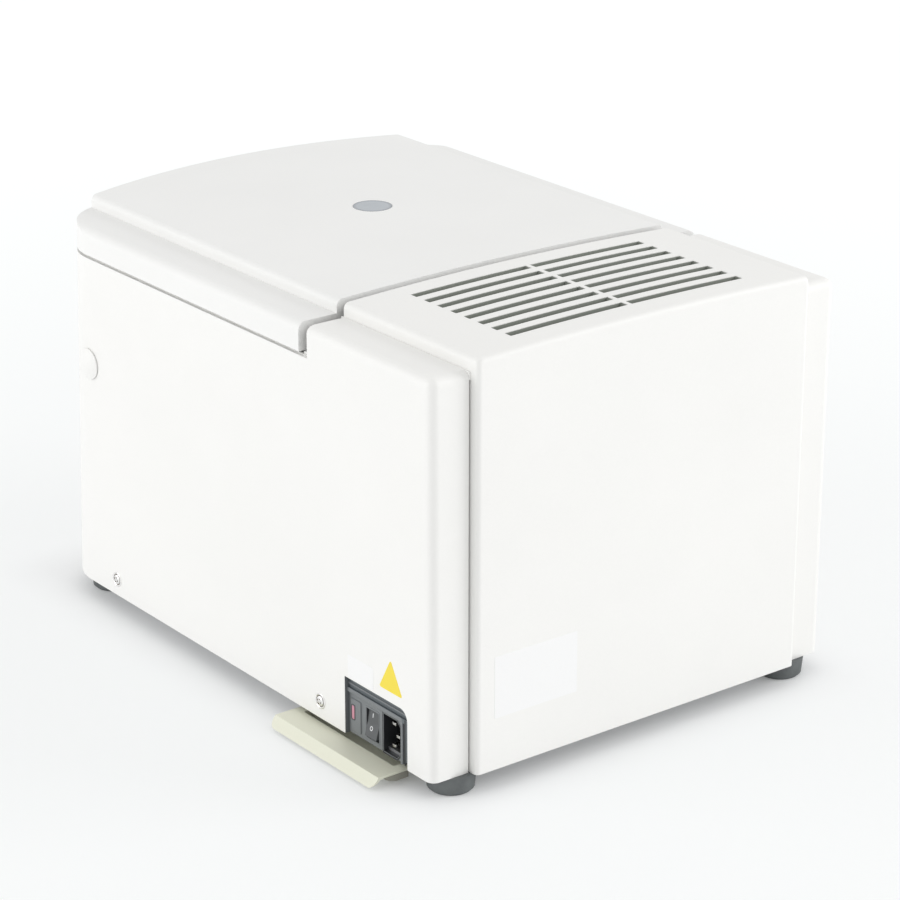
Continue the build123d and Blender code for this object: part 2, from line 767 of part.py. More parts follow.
def make_strikers():
    """Pins that the latch hooks catch, each between two blocks on the liner."""
    low = lid_underside + liner_thickness
    half = latch_arm_thickness / 2 + 6.0
    solids = []
    pin = crosswise(striker_radius, latch_spread - half - 3, latch_spread + half + 3, latch_y,
                    striker_height)
    for way in (-1, 1):
        near, far = latch_spread + way * half, latch_spread + way * (half + 4)
        pin += block(min(near, far), max(near, far), latch_y - 6, latch_y + 6, low, low + 7)
    solids += both_sides(pin)
    return group(solids)


def latch_place():
    """Turn about the latch pivot from latched to released."""
    return Pos(0, latch_y, latch_height) * Rotation(latch_swing, 0, 0)


def make_latch_yoke():
    """Two hook arms joined by a bar that passes ahead of the chamber."""
    top = striker_height + striker_radius + 0.9 - latch_height
    arm = Polyline((0, 0), (-latch_bow, latch_bow), (-latch_bow, top - 30), (-8, top - 8), (-8, top + 2),
                   (4, top + 2))
    face = Circle(9) + trace(arm, 8)
    face -= Pos(2, top - 5) * Rectangle(14, 10)
    face -= Circle(latch_shaft_radius + 0.02)
    hook = extrude(Plane.YZ * face, latch_arm_thickness / 2, both=True)
    rise = cover_top - grip_height - latch_height - latch_bar[1] / 2 - 4.5
    yoke = Pos(0, -latch_bow, rise) * Box(2 * latch_spread, *latch_bar)
    for solid in both_sides(Pos(latch_spread, 0, 0) * hook):
        yoke += solid
    return latch_place() * yoke


def make_latch_shafts():
    """Pivot shafts; the one on the +x side ends in a hexagon socket behind the plug."""
    end = half_width - wall - 3
    right = crosswise(latch_shaft_radius, latch_spread - 10, end, latch_y, latch_height)
    socket = extrude(Plane.YZ * RegularPolygon(2.8, 6), 6)
    right -= Pos(end - 6, latch_y, latch_height) * socket
    left = crosswise(latch_shaft_radius, -latch_spread - 14, -latch_spread + 10, latch_y, latch_height)
    return group([right, left])


def make_latch_brackets():
    """Bearing plates that hang from the chamber deck on each side of the arms."""
    high = deck_plate_height - deck_plate_thickness
    solids = []
    for way in (-1, 1):
        x = latch_spread + way * 9.5
        plate = block(x - 1.5, x + 1.5, latch_y - 9, latch_y + 9, latch_height - 9, high)
        plate -= crosswise(latch_shaft_radius + running_gap, x - 4, x + 4, latch_y, latch_height)
        solids += both_sides(plate)
    return group(solids)


def make_release_plug():
    """Round cap in the side wall over the emergency release."""
    face = half_width + 0.3
    cap = Sphere((plug_radius**2 + plug_dome**2) / (2 * plug_dome))
    radius = (plug_radius**2 + plug_dome**2) / (2 * plug_dome)
    cap = Pos(face + 0.8 + plug_dome - radius, latch_y, latch_height) * Rotation(*axis_of_x) * cap
    cap = cap & crosswise(plug_radius, face, face + 10, latch_y, latch_height)
    return cap + crosswise(plug_stem_radius, half_width - wall - 1.5, face + 0.5, latch_y, latch_height)


def make_inlet_bracket():
    """Dark frame behind the side wall's cut-out, stepped round the inlet module."""
    face = half_width - wall
    plate = block(face - 3, face, -cutout_front - 5, -cutout_rear + 5, foot_height + pan_thickness,
                  cutout_top + 5)
    step = block(face - 3, face + 1.2, -cutout_front + 0.3, -module_rear + 3.3, module_top + 0.2,
                 module_top + 3)
    column = block(face - 3, face + 1.2, -module_rear + 0.2, -module_rear + 3, foot_height + pan_thickness,
                   module_top + 3)
    plate += step + column
    return plate - block(face - 9, face + 9, -module_front - 0.2, -module_rear + 0.2, 0, module_top + 0.2)


def make_inlet_module():
    """Combined inlet: fuse bay, switch well and an upright three-pin socket with two cut corners."""
    face = half_width - wall
    body = block(face - module_depth, face, -module_front, -module_rear, module_bottom, module_top)
    body -= block(face - module_depth - 1, face - 3, -module_front - 1, -module_rear + 1, 0,
                  foot_height + pan_thickness + 0.3)
    half, rise = socket_width / 2, socket_height / 2
    well = [(-half, -rise), (half - socket_chamfer, -rise), (half, -rise + socket_chamfer),
            (half, rise - socket_chamfer), (half - socket_chamfer, rise), (-half, rise)]
    socket = extrude(Plane.YZ * make_face(Polyline(*well, close=True)), socket_depth + 1)
    body -= Pos(face - socket_depth, -socket_middle, socket_middle_height) * socket
    body -= Pos(face, -rocker_middle, socket_middle_height) * Box(
        20, rocker_width + rocker_well_gap, rocker_height + 2 * rocker_well_gap)
    body -= rocker_axle(rocker_pin_radius + running_gap, rocker_pin_reach + 0.1)
    return body - Pos(face, -fuse_middle, socket_middle_height) * Box(2 * fuse_depth + 1, fuse_width + 0.6,
                                                                      fuse_height + 0.6)


def make_mains_pins():
    """Two current pins and an earth pin nearer the cut corners."""
    face = half_width - wall
    solids = []
    for shift, rise in ((-2, mains_pin_pitch), (-2, -mains_pin_pitch), (2, 0)):
        x0, x1 = face - socket_depth, face - mains_pin_sink
        y, z = -socket_middle + shift, socket_middle_height + rise
        solids.append(block(x0, x1, y - mains_pin[0] / 2, y + mains_pin[0] / 2,
                            z - mains_pin[1] / 2, z + mains_pin[1] / 2))
    return group(solids)


def rocker_axle(radius, reach):
    """Cylinder on the rocker's pivot that enters the walls of its well by a distance."""
    length = rocker_width + rocker_well_gap + 2 * reach
    place = Pos(half_width - wall - rocker_pivot_depth, -rocker_middle, socket_middle_height)
    return place * Rotation(90, 0, 0) * Cylinder(radius, length)


def make_rocker():
    """Mains rocker: two faces that meet at the pivot's height, lying at its on position."""
    half = rocker_height / 2
    deep = rocker_pivot_depth
    outline = Polyline((-deep + 1, -half + 2.6), (deep + 0.3, -half), (deep - 0.4, 0), (deep + 0.3, half),
                       (-deep + 1, half - 2.6), close=True)
    rocker = extrude(Plane.XZ * make_face(outline), rocker_width / 2, both=True)
    pivot_x = half_width - wall - rocker_pivot_depth
    rocker = Pos(pivot_x, -rocker_middle, socket_middle_height) * Rotation(0, -rocker_tilt, 0) * rocker
    return rocker + rocker_axle(rocker_pin_radius, rocker_pin_reach)


def make_fuse_drawer():
    """Carrier that slides out of the module with both fuses."""
    face = half_width - wall
    y, z = -fuse_middle, socket_middle_height
    return block(face - fuse_depth, face + 0.6, y - fuse_width / 2, y + fuse_width / 2,
                 z - fuse_height / 2, z + fuse_height / 2)


def make_tray():
    """Shallow tray with wide rims and a folded-down grip lip."""
    inner, outer = tray_inner_end, tray_reach - tray_rim * 2
    basin = block(inner, outer, -tray_front + tray_rim - tray_skin, -tray_rear - tray_rim + tray_skin,
                  tray_floor, tray_top)
    hollow = block(inner + tray_skin, outer - tray_skin, -tray_front + tray_rim, -tray_rear - tray_rim,
                   tray_floor + tray_skin, tray_top + 1)
    flange = block(inner, tray_reach, -tray_front, -tray_rear, tray_top - tray_skin, tray_top)
    lip = Polyline((tray_reach - 3, tray_top), (tray_reach, tray_top),
                   (tray_reach + lip_run, tray_top - lip_drop),
                   (tray_reach + lip_run - tray_skin, tray_top - lip_drop),
                   (tray_reach - 1.2, tray_top - tray_skin),
                   (tray_reach - 3, tray_top - tray_skin), close=True)
    width = tray_front - tray_rear
    lip = Pos(0, -tray_rear, 0) * extrude(Plane.XZ * make_face(lip), width)
    end = Pos(-(tray_front + tray_rear) / 2, tray_top - lip_drop / 2) * Rectangle(width, lip_drop)
    end = fillet(end.vertices().sort_by(Axis.Y)[:2], lip_end_round)
    lip = lip & extrude(Plane.YZ * end, 2 * half_width)
    near, far, low = tray_reach - web_run, tray_reach - 3, tray_top - web_drop
    base = Polyline((far, tray_top), (near, tray_top), (near, low), (far - tray_rim, low))
    web = extrude(Plane.XZ * make_face(base + ThreePointArc((far - tray_rim, low), (far - 2.4, low + 1.2),
                                                            (far, tray_top))), tray_skin)
    webs = Pos(0, -tray_rear, 0) * web + Pos(0, -tray_front + tray_skin, 0) * web
    return flange + basin + lip + webs - hollow


def make_tray_runners():
    """Rails under the base that hold the tray by its rims."""
    solids = []
    end = half_width - runner_setback
    for y, way in ((-tray_front, 1), (-tray_rear, -1)):
        outside = y - way * (runner_width + 0.5)
        web = block(tray_inner_end, end, outside, y - way * 0.5, tray_top - 4.3, foot_height)
        toe = block(tray_inner_end, end, outside, y + way * (tray_rim - 2.5), tray_top - 4.3,
                    tray_top - tray_skin - 0.3)
        solids.append(web + toe)
    return group(solids)


def make_rear_bulkhead():
    """Sheet between the chamber and the cooling bay."""
    high = deck_plate_height - deck_plate_thickness
    rim = wall + fit_gap + 2.2
    return block(-half_width + rim, half_width - rim, -bulkhead_reach - bulkhead_thickness, -bulkhead_reach,
                 foot_height + pan_thickness, high)


def make_compressor():
    """Welded compressor can on a foot plate, with its rubber feet."""
    x, y = compressor_spot
    low = foot_height + pan_thickness
    foot = compressor_foot
    high = low + foot + compressor_height
    wide = compressor_radius
    can = turned([(0, low + foot), (wide - foot, low + foot), (wide, low + foot * 2), (wide, high - foot * 4),
                  (wide - foot * 2, high - foot), (foot * 2, high), (0, high)])
    can += Pos(0, 0, low + foot * 1.2) * Box(2 * compressor_radius, 2 * compressor_radius, foot / 3)
    spread = compressor_radius - foot * 1.4
    for a in (-1, 1):
        for b in (-1, 1):
            can += upright(foot, a * spread, b * spread, low, low + foot * 1.3)
    return Pos(x, y, 0) * can


def bay_box(inset, low, high):
    """Box that fills the cooling bay below the grille."""
    return block(-shroud_half_width + inset, shroud_half_width - inset, -bulkhead_reach + inset,
                 -side_setback - wall - 2 - inset, low, high)


fan_y = -(bulkhead_reach + side_setback + wall + 2) / 2


def make_fan_shroud():
    """Open box round the condenser, with a ring for the fan and spokes for its motor."""
    high = shroud_floor + shroud_rise
    shroud = bay_box(0, shroud_floor, high) - bay_box(2, shroud_floor + 2, high + 1)
    ring_radius = fan_radius + fan_tip_gap
    ring = upright(ring_radius + 2, 0, fan_y, shroud_floor - fan_depth, shroud_floor + 1)
    shroud = shroud + ring - upright(ring_radius, 0, fan_y, shroud_floor - fan_depth - 1, shroud_floor + 3)
    hub = upright(fan_hub_radius - 1, 0, fan_y, shroud_floor - fan_depth / 4, shroud_floor)
    for turn in (0, 90):
        spoke = Pos(0, fan_y, shroud_floor - 1.5) * Rotation(0, 0, turn) * Box(2 * ring_radius + 2, 5, 3)
        hub += spoke
    return shroud + hub - upright(fan_axle_radius + running_gap, 0, fan_y, shroud_floor - 9, shroud_floor - 1)


def make_cooling_fan():
    """Axial fan with pitched blades on a round hub."""
    middle = shroud_floor - fan_depth * 0.6
    hub = upright(fan_hub_radius, 0, 0, middle - fan_depth * 0.35, middle + fan_depth * 0.3)
    hub += upright(fan_axle_radius, 0, 0, middle + fan_depth / 4, shroud_floor - 1.5)
    root = fan_hub_radius - 2
    length = fan_radius - root
    for i in range(blade_count):
        blade = Pos(root + length / 2, 0, middle) * Rotation(32, 0, 0) * Box(length, fan_depth, 1.6)
        hub += Rotation(0, 0, 360 / blade_count * i) * blade
    return Pos(0, fan_y, 0) * hub


def make_condenser():
    """Finned heat exchanger below the grille."""
    low = shroud_floor + 5
    core = bay_box(condenser_gap, low, low + condenser_height)
    pitch = 2 * (shroud_half_width - header_width) / fin_count
    for i in range(fin_count):
        x = -shroud_half_width + header_width + (i + 0.5) * pitch
        core -= block(x - pitch * 0.3, x + pitch * 0.3, -bulkhead_reach + header_width,
                      -side_setback - wall - header_width - 2, low + condenser_height / 4,
                      low + condenser_height * 1.5)
    feet = bay_box(condenser_gap, shroud_floor + 2, low) - bay_box(condenser_gap * 2.5, shroud_floor, low + 1)
    return core + feet


def make_power_board():
    """Power electronics on the pan, ahead of the motor."""
    half_x, half_y = power_board_half
    stand, tall = power_board_stand, power_part_height
    floor = foot_height + pan_thickness
    low = floor + stand + 1.6
    board = block(-half_x, half_x, -half_y, half_y, floor + stand, low)
    for x in (-1, 1):
        for y in (-1, 1):
            board += upright(stand / 2, x * (half_x - stand), y * (half_y - stand), floor, floor + stand)
    transformer = block(-0.8 * half_x, -0.35 * half_x, -0.65 * half_y, 0.65 * half_y, low, low + tall)
    choke = block(-0.1 * half_x, 0.2 * half_x, -0.7 * half_y, 0.4 * half_y, low, low + 0.6 * tall)
    capacitor = upright(half_y / 2, 0.6 * half_x, 0, low, low + tall)
    return Pos(0, -power_board_reach, 0) * (board + transformer + choke + capacitor)


def make_lid_screws():
    """Screws that hold the liner, their heads below it."""
    solids = []
    side = half_width - 22
    spots = ((rotor_reach - 101, side), (rotor_reach + 64, side), (front_reach - 30, grip_half_width - 8))
    for reach, x in spots:
        screw = upright(lid_screw_radius, x, -reach, lid_underside - 1.2, lid_underside)
        solids += both_sides(screw)
    return group(solids)


right_cover, left_cover = make_side_covers()
nodes = {
    "base_pan": make_base_pan(),
    "rubber_feet": make_feet(),
    "rear_cover": make_rear_cover(),
    "side_cover_right": right_cover,
    "side_cover_left": left_cover,
    "front_fascia": make_front_fascia(),
    "grip_recess": make_grip_recess(),
    "control_panel": make_control_panel(),
    "display_window": make_display_window(),
    "display_module": make_display_module(),
    "control_board": make_control_board(),
    "chamber_deck": make_chamber_deck(),
    "chamber_bowl": make_chamber_bowl(),
    "chamber_insulation": make_insulation(),
    "rear_bulkhead": make_rear_bulkhead(),
    "drive_motor": make_drive_motor(),
    "motor_plate": make_motor_plate(),
    "motor_dampers": make_dampers(),
    "shaft_seal": make_shaft_seal(),
    "compressor": make_compressor(),
    "condenser": make_condenser(),
    "fan_shroud": make_fan_shroud(),
    "power_board": make_power_board(),
    "hinge_brackets": make_hinge_brackets(),
    "hinge_pins": make_hinge_pins(),
    "latch_brackets": make_latch_brackets(),
    "inlet_bracket": make_inlet_bracket(),
    "inlet_module": make_inlet_module(),
    "mains_pins": make_mains_pins(),
    "side_screws": group([make_screw(side, y) for side in (-1, 1) for _, y, _ in screw_seats(side)]),
    "tray_runners": make_tray_runners(),
    "lid_shell": make_lid_shell(),
    "lid_liner": make_lid_liner(),
    "lid_seal": make_lid_seal(),
    "lid_window": make_lid_window(),
    "lid_screws": make_lid_screws(),
    "hinge_arms": make_hinge_arms(),
    "lid_strikers": make_strikers(),
    "rotor": make_rotor(),
    "motor_shaft": make_motor_shaft(),
    "rotor_lid": make_rotor_lid(),
    "rotor_knob": make_rotor_knob(),
    "latch_yoke": make_latch_yoke(),
    "latch_shafts": make_latch_shafts(),
    "release_plug": make_release_plug(),
    "power_rocker": make_rocker(),
    "fuse_drawer": make_fuse_drawer(),
    "condensate_tray": make_tray(),
    "cooling_fan": make_cooling_fan(),
}
for name, size, x, rise in key_places():
    nodes[name] = make_key(size, x, rise)

# The origin is on the table, in the middle of the whole object's outline with the tray at rest
tray_end = tray_reach + lip_run
origin = Pos((half_width + screw_head_height - tray_end) / 2, front_reach / 2, 0)

os.makedirs("parts", exist_ok=True)
for name, solid in nodes.items():
    export_step(origin * solid, f"parts/{name}.step")
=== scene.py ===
import json

import bmesh
import bpy
import numpy as np
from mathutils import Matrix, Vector


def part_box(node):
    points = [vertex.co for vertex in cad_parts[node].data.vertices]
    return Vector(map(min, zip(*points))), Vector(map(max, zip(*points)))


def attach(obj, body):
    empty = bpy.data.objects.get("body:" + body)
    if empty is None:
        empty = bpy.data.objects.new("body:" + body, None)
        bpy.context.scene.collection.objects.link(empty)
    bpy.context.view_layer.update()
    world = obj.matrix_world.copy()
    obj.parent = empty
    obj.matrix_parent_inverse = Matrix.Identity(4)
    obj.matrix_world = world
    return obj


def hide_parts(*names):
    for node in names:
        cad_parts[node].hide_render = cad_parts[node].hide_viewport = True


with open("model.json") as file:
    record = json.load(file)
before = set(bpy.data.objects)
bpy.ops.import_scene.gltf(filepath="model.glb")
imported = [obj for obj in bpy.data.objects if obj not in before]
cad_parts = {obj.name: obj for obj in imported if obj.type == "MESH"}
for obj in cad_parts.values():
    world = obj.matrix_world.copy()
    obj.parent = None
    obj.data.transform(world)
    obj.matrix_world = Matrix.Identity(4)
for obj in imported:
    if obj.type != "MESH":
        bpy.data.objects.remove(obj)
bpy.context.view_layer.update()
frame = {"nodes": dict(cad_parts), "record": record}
slotOfNode = {part["node"]: part["material_slot"] for part in frame["record"]["subparts"]}
print("frame loaded:", len(frame["nodes"]), "nodes")

mm = 0.001
coverLow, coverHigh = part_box("rear_cover")
middleX = (coverLow.x + coverHigh.x) / 2
rearY = coverHigh.y
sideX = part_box("side_cover_right")[1].x


def spot(x, reach, z):
    # A place in millimetres, or an array of them: across from the middle, forward from the rear face and
    # above the table
    x, reach, z = np.broadcast_arrays(x, reach, z)
    return np.stack([middleX + x * mm, rearY - reach * mm, z * mm], axis=-1)


def acrossTo(x):
    # The frame's x as millimetres from the middle, to 0.1
    return round((x - middleX) / mm, 1)


def forwardTo(y):
    # The frame's y as millimetres from the rear face, to 0.1
    return round((rearY - y) / mm, 1)


def middleOf(node):
    # The middle of a node's box as its reach and its height in millimetres, to 0.1
    low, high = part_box(node)
    return forwardTo((low.y + high.y) / 2), round((low.z + high.z) / 2 / mm, 1)


# Driving sizes in millimetres, read from the frame
halfWidth = acrossTo(sideX)
sideInnerX = acrossTo(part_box("side_cover_right")[0].x)
deckHalf = acrossTo(coverHigh.x)
deckTop = round(coverHigh.z / mm, 1)
footHeight = round(coverLow.z / mm, 1)
frontReach = forwardTo(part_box("front_fascia")[0].y)
rotorReach = middleOf("rotor")[0]
inletFaceX = acrossTo(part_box("inlet_module")[1].x)
frontLean = 3.07  # degrees by which the front leans back

# Camera
camera = {
    "target": (-0.0203, 0.0142, 0.1182),
    "azimuth": 142.65,
    "elevation": 20.9,
    "distance": 1.929,
    "lens": 122.7,
}


def aimAt(thing, place, target):
    thing.location = place
    thing.rotation_euler = (Vector(target) - Vector(place)).to_track_quat("-Z", "Y").to_euler()


azimuth, elevation = np.radians([camera["azimuth"], camera["elevation"]])
level = np.cos(elevation)
backwards = np.array([np.sin(azimuth) * level, -np.cos(azimuth) * level, np.sin(elevation)])
lensData = bpy.data.cameras.new("photoCamera")
lensData.lens = camera["lens"]
lensData.sensor_width = 36
lensData.clip_start = 0.05
lensData.clip_end = 50
viewer = bpy.data.objects.new("photoCamera", lensData)
bpy.context.scene.collection.objects.link(viewer)
aimAt(viewer, np.array(camera["target"]) + backwards * camera["distance"], camera["target"])
bpy.context.scene.camera = viewer
bpy.context.scene.view_settings.view_transform = "Standard"

# Lamps: two wide ones that light both sides of the housing evenly
lamps = {
    "keyLamp": {"power": 35.0, "place": (3.0, -1.4, 0.95), "size": 2.2},
    "fillLamp": {"power": 44.0, "place": (-2.5, 2.1, 1.5), "size": 2.0},
}
lampTarget = (0, 0, 0.12)
for name, look in lamps.items():
    lamp = bpy.data.lights.new(name, "AREA")
    lamp.energy = look["power"]
    lamp.size = look["size"]
    holder = bpy.data.objects.new(name, lamp)
    bpy.context.scene.collection.objects.link(holder)
    aimAt(holder, look["place"], lampTarget)
print("camera and lamps placed")


# Shader sums: a Wire is a socket that can be added, subtracted and multiplied
class Wire:
    def __init__(self, maker, socket):
        self.maker = maker
        self.socket = socket

    def sum(self, operation, first, second):
        return self.maker.node("ShaderNodeMath", {"operation": operation}, {0: first, 1: second})

    def __add__(self, other):
        return self.sum("ADD", self, other)

    def __radd__(self, other):
        return self.sum("ADD", other, self)

    def __sub__(self, other):
        return self.sum("SUBTRACT", self, other)

    def __rsub__(self, other):
        return self.sum("SUBTRACT", other, self)

    def __mul__(self, other):
        return self.sum("MULTIPLY", self, other)

    def __rmul__(self, other):
        return self.sum("MULTIPLY", other, self)


class NodeMaker:
    # Makes the nodes of one tree
    def __init__(self, tree):
        self.tree = tree

    def node(self, kind, settings=None, sockets=None, output=0):
        # A node from its type, its settings and the values or links of its sockets; gives the named output
        made = self.tree.nodes.new(kind)
        for key, value in (settings or {}).items():
            setattr(made, key, value)
        for key, value in (sockets or {}).items():
            if isinstance(value, Wire):
                self.tree.links.new(value.socket, made.inputs[key])
            else:
                made.inputs[key].default_value = value
        return Wire(self, made.outputs[output]) if made.outputs else None


class Finish(NodeMaker):
    # A material with one Principled shader, built from expressions
    def __init__(self, name):
        self.material = bpy.data.materials.new(name)
        self.material.use_nodes = True
        super().__init__(self.material.node_tree)
        self.shader = self.tree.nodes["Principled BSDF"]
        self.coordinate = None

    def place(self):
        # Object coordinates, made once for each material
        if self.coordinate is None:
            self.coordinate = self.node("ShaderNodeTexCoord", output="Object")
        return self.coordinate

    def axis(self, letter, vector=None):
        source = vector or self.place()
        return self.node("ShaderNodeSeparateXYZ", sockets={0: source}, output="XYZ".index(letter))

    def stretched(self, scale, centre=(0, 0, 0)):
        # Object coordinates about a centre, scaled along each axis
        return self.node("ShaderNodeMapping", {"vector_type": "POINT"}, {
            "Vector": self.place(),
            "Location": tuple(-c * s for c, s in zip(centre, scale)),
            "Scale": tuple(scale)})

    def noise(self, scale, detail=2.0, rough=0.5, vector=None):
        return self.node("ShaderNodeTexNoise", sockets={
            "Vector": vector or self.place(), "Scale": scale, "Detail": detail, "Roughness": rough})

    def ramp(self, value, low, high):
        # 0 below low, 1 above high, even between them
        return self.node("ShaderNodeMapRange", {"clamp": True}, {
            "Value": value, "From Min": low, "From Max": high})

    def root(self, value):
        return self.node("ShaderNodeMath", {"operation": "SQRT"}, {0: value})

    def joined(self, x, y, z):
        return self.node("ShaderNodeCombineXYZ", sockets={0: x, 1: y, 2: z})

    def mix(self, amount, first, second):
        # Between two colours, each a Wire or (red, green, blue), by the node's sockets 6 and 7
        first, second = (c if isinstance(c, Wire) else (*c, 1.0) for c in (first, second))
        return self.node("ShaderNodeMix", {"data_type": "RGBA"}, {"Factor": amount, 6: first, 7: second},
                         output=2)

    def bump(self, height, strength, depth):
        return self.node("ShaderNodeBump", sockets={
            "Height": height, "Strength": strength, "Distance": depth})

    def aroundRotor(self):
        # Distance from the rotor's axis, the root of x squared plus y squared, and the height
        axis = spot(0, rotorReach, 0)
        centred = self.stretched((1, 1, 1), (axis[0], axis[1], 0))
        x, y, z = (self.axis(letter, centred) for letter in "XYZ")
        return self.root(x * x + y * y), z

    def wear(self, **sockets):
        # Sets the shader's own sockets, by name with underscores for spaces
        for key, value in sockets.items():
            target = self.shader.inputs[key.replace("_", " ")]
            if isinstance(value, Wire):
                self.tree.links.new(value.socket, target)
            else:
                target.default_value = (*value, 1.0) if isinstance(value, tuple) else value
        return self.material


def shade(colour, factor):
    # A colour made darker or paler by a factor, held within 1
    return tuple(min(1.0, c * factor) for c in colour)


mouldings = {
    "housing": {"colour": (0.885, 0.882, 0.862), "grain": 1500, "depth": 0.00005, "rough": 0.50},
    "lid": {"colour": (0.872, 0.872, 0.858), "grain": 1500, "depth": 0.00005, "rough": 0.48},
    "deck": {"colour": (0.84, 0.84, 0.825), "grain": 1300, "depth": 0.00005, "rough": 0.52},
    "liner": {"colour": (0.72, 0.73, 0.73), "grain": 1300, "depth": 0.00004, "rough": 0.50},
    "tray": {"colour": (0.775, 0.78, 0.65), "grain": 1100, "depth": 0.00006, "rough": 0.46},
    # The tray's end plates: a dark tone that is painted shade for the shadow under the flange's end
    "trayEndShade": {"colour": (0.30, 0.295, 0.25), "grain": 1100, "depth": 0.00006, "rough": 0.6},
    "slate": {"colour": (0.125, 0.137, 0.145), "grain": 1700, "depth": 0.00006, "rough": 0.50},
    # Inlet module: its own slate, made paler as painted light; bracket: its own slate, made darker as
    # painted shade for its recess
    "module": {"colour": (0.19, 0.203, 0.21), "grain": 1700, "depth": 0.00005, "rough": 0.48},
    "bracket": {"colour": (0.108, 0.125, 0.137), "grain": 1700, "depth": 0.00005, "rough": 0.52},
    "rocker": {"colour": (0.085, 0.091, 0.095), "grain": 2200, "depth": 0.00002, "rough": 0.34},
    "blackMoulding": {"colour": (0.025, 0.027, 0.030), "grain": 1500, "depth": 0.00004, "rough": 0.42},
    "panel": {"colour": (0.34, 0.38, 0.42), "grain": 2200, "depth": 0.00003, "rough": 0.44},
    "greyKey": {"colour": (0.80, 0.80, 0.78), "grain": 2400, "depth": 0.00003, "rough": 0.40},
    "blueKey": {"colour": (0.075, 0.17, 0.30), "grain": 2400, "depth": 0.00003, "rough": 0.40},
    # The grille's slot liner: a dark tone that is painted shade inside the slots
    "slotShade": {"colour": (0.305, 0.325, 0.29), "grain": 1500, "depth": 0.00004, "rough": 0.55},
    "insert": {"colour": (0.60, 0.27, 0.34), "grain": 1600, "depth": 0.00003, "rough": 0.35},
}


def moulded(name):
    # Spark-eroded plastic: two sizes of grain, faint tone drift over a hand's width and soft rub marks
    look = mouldings[name]
    f = Finish(name + "Plastic")
    drift = f.ramp(f.noise(9, 3, 0.55), 0.35, 0.65)
    speck = f.ramp(f.noise(look["grain"] * 0.6, 1), 0.30, 0.75)
    rubbed = f.ramp(f.noise(1, 4, 0.6, f.stretched((14, 14, 90))), 0.56, 0.72)
    colour = f.mix(drift * 0.6 + speck * 0.4, shade(look["colour"], 0.982), shade(look["colour"], 1.012))
    grain = f.noise(look["grain"], 2, 0.6) * 0.7 + f.noise(look["grain"] * 0.35, 1) * 0.3
    rough = look["rough"] + (drift - 0.5) * 0.05 + (speck - 0.5) * 0.06 - rubbed * 0.05
    return f.wear(Base_Color=colour, Roughness=rough, Normal=f.bump(grain, 0.35, look["depth"]))


rubbers = {
    "foot": {"colour": (0.105, 0.115, 0.117), "bloom": (0.19, 0.205, 0.205)},
    "seal": {"colour": (0.12, 0.125, 0.13), "bloom": (0.20, 0.205, 0.21)},
}


def rubber(name):
    # Matt rubber with a pale bloom and fine pits
    look = rubbers[name]
    f = Finish(name + "Rubber")
    bloom = f.ramp(f.noise(60, 4, 0.65), 0.42, 0.75)
    pits = f.noise(1600, 2, 0.6)
    return f.wear(Base_Color=f.mix(bloom * 0.55, look["colour"], look["bloom"]),
                  Roughness=0.66 + bloom * 0.12, Normal=f.bump(pits, 0.4, 0.00008))


metals = {
    "sheet": {"colour": (0.56, 0.57, 0.58), "rough": 0.42, "run": (30, 900, 30)},
    "bright": {"colour": (0.66, 0.66, 0.66), "rough": 0.26, "run": (400, 400, 60)},
    "pin": {"colour": (0.50, 0.495, 0.475), "rough": 0.22, "run": (60, 500, 500)},
    "screw": {"colour": (0.95, 0.94, 0.92), "rough": 0.24, "run": (500, 500, 90)},
}


def rolledMetal(name):
    # Rolled or drawn metal: long streaks along one axis, cloudy roughness
    look = metals[name]
    f = Finish(name + "Metal")
    streak = f.noise(1, 3, 0.6, f.stretched(look["run"]))
    cloud = f.ramp(f.noise(45, 3), 0.3, 0.7)
    return f.wear(Base_Color=f.mix(streak, shade(look["colour"], 0.88), shade(look["colour"], 1.08)),
                  Metallic=1.0, Roughness=look["rough"] + (cloud - 0.5) * 0.10,
                  Normal=f.bump(streak, 0.25, 0.00005))


turnings = {
    "chamber": {"colour": (0.60, 0.61, 0.62), "rough": 0.34, "pitch": 900, "depth": 0.00004},
    "rotor": {"colour": (0.17, 0.185, 0.205), "rough": 0.36, "pitch": 1500, "depth": 0.00003},
    "cover": {"colour": (0.55, 0.56, 0.57), "rough": 0.30, "pitch": 1800, "depth": 0.00003},
}


def turnedMetal(name):
    # Lathe-turned metal: fine rings about the rotor's axis, from the distance to the axis and the height
    look = turnings[name]
    f = Finish(name + "Turned")
    radius, z = f.aroundRotor()
    rings = f.noise(1, 2, 0.6, f.joined(radius * look["pitch"], 0.0, z * look["pitch"]))
    cloud = f.ramp(f.noise(35, 3), 0.3, 0.7)
    return f.wear(Base_Color=f.mix(rings, shade(look["colour"], 0.86), shade(look["colour"], 1.10)),
                  Metallic=1.0, Roughness=look["rough"] + (cloud - 0.5) * 0.08,
                  Normal=f.bump(rings, 0.3, look["depth"]))


def foam():
    # Foam jacket: small round cells, paler away from their middles
    f = Finish("jacketFoam")
    cells = f.node("ShaderNodeTexVoronoi", sockets={"Vector": f.place(), "Scale": 420.0})
    return f.wear(Base_Color=f.mix(f.ramp(cells, 0.1, 0.7), (0.70, 0.62, 0.42), (0.84, 0.78, 0.60)),
                  Roughness=0.9, Normal=f.bump(cells, 0.6, 0.0006))


def enamel():
    # Motor: black enamel with a slight orange peel, under dust
    f = Finish("motorEnamel")
    peel = f.noise(260, 2)
    dust = f.ramp(f.noise(40, 4, 0.6), 0.45, 0.8)
    return f.wear(Base_Color=f.mix(dust * 0.3, (0.030, 0.032, 0.036), (0.16, 0.155, 0.145)),
                  Roughness=0.34 + dust * 0.2, Normal=f.bump(peel, 0.2, 0.0002))


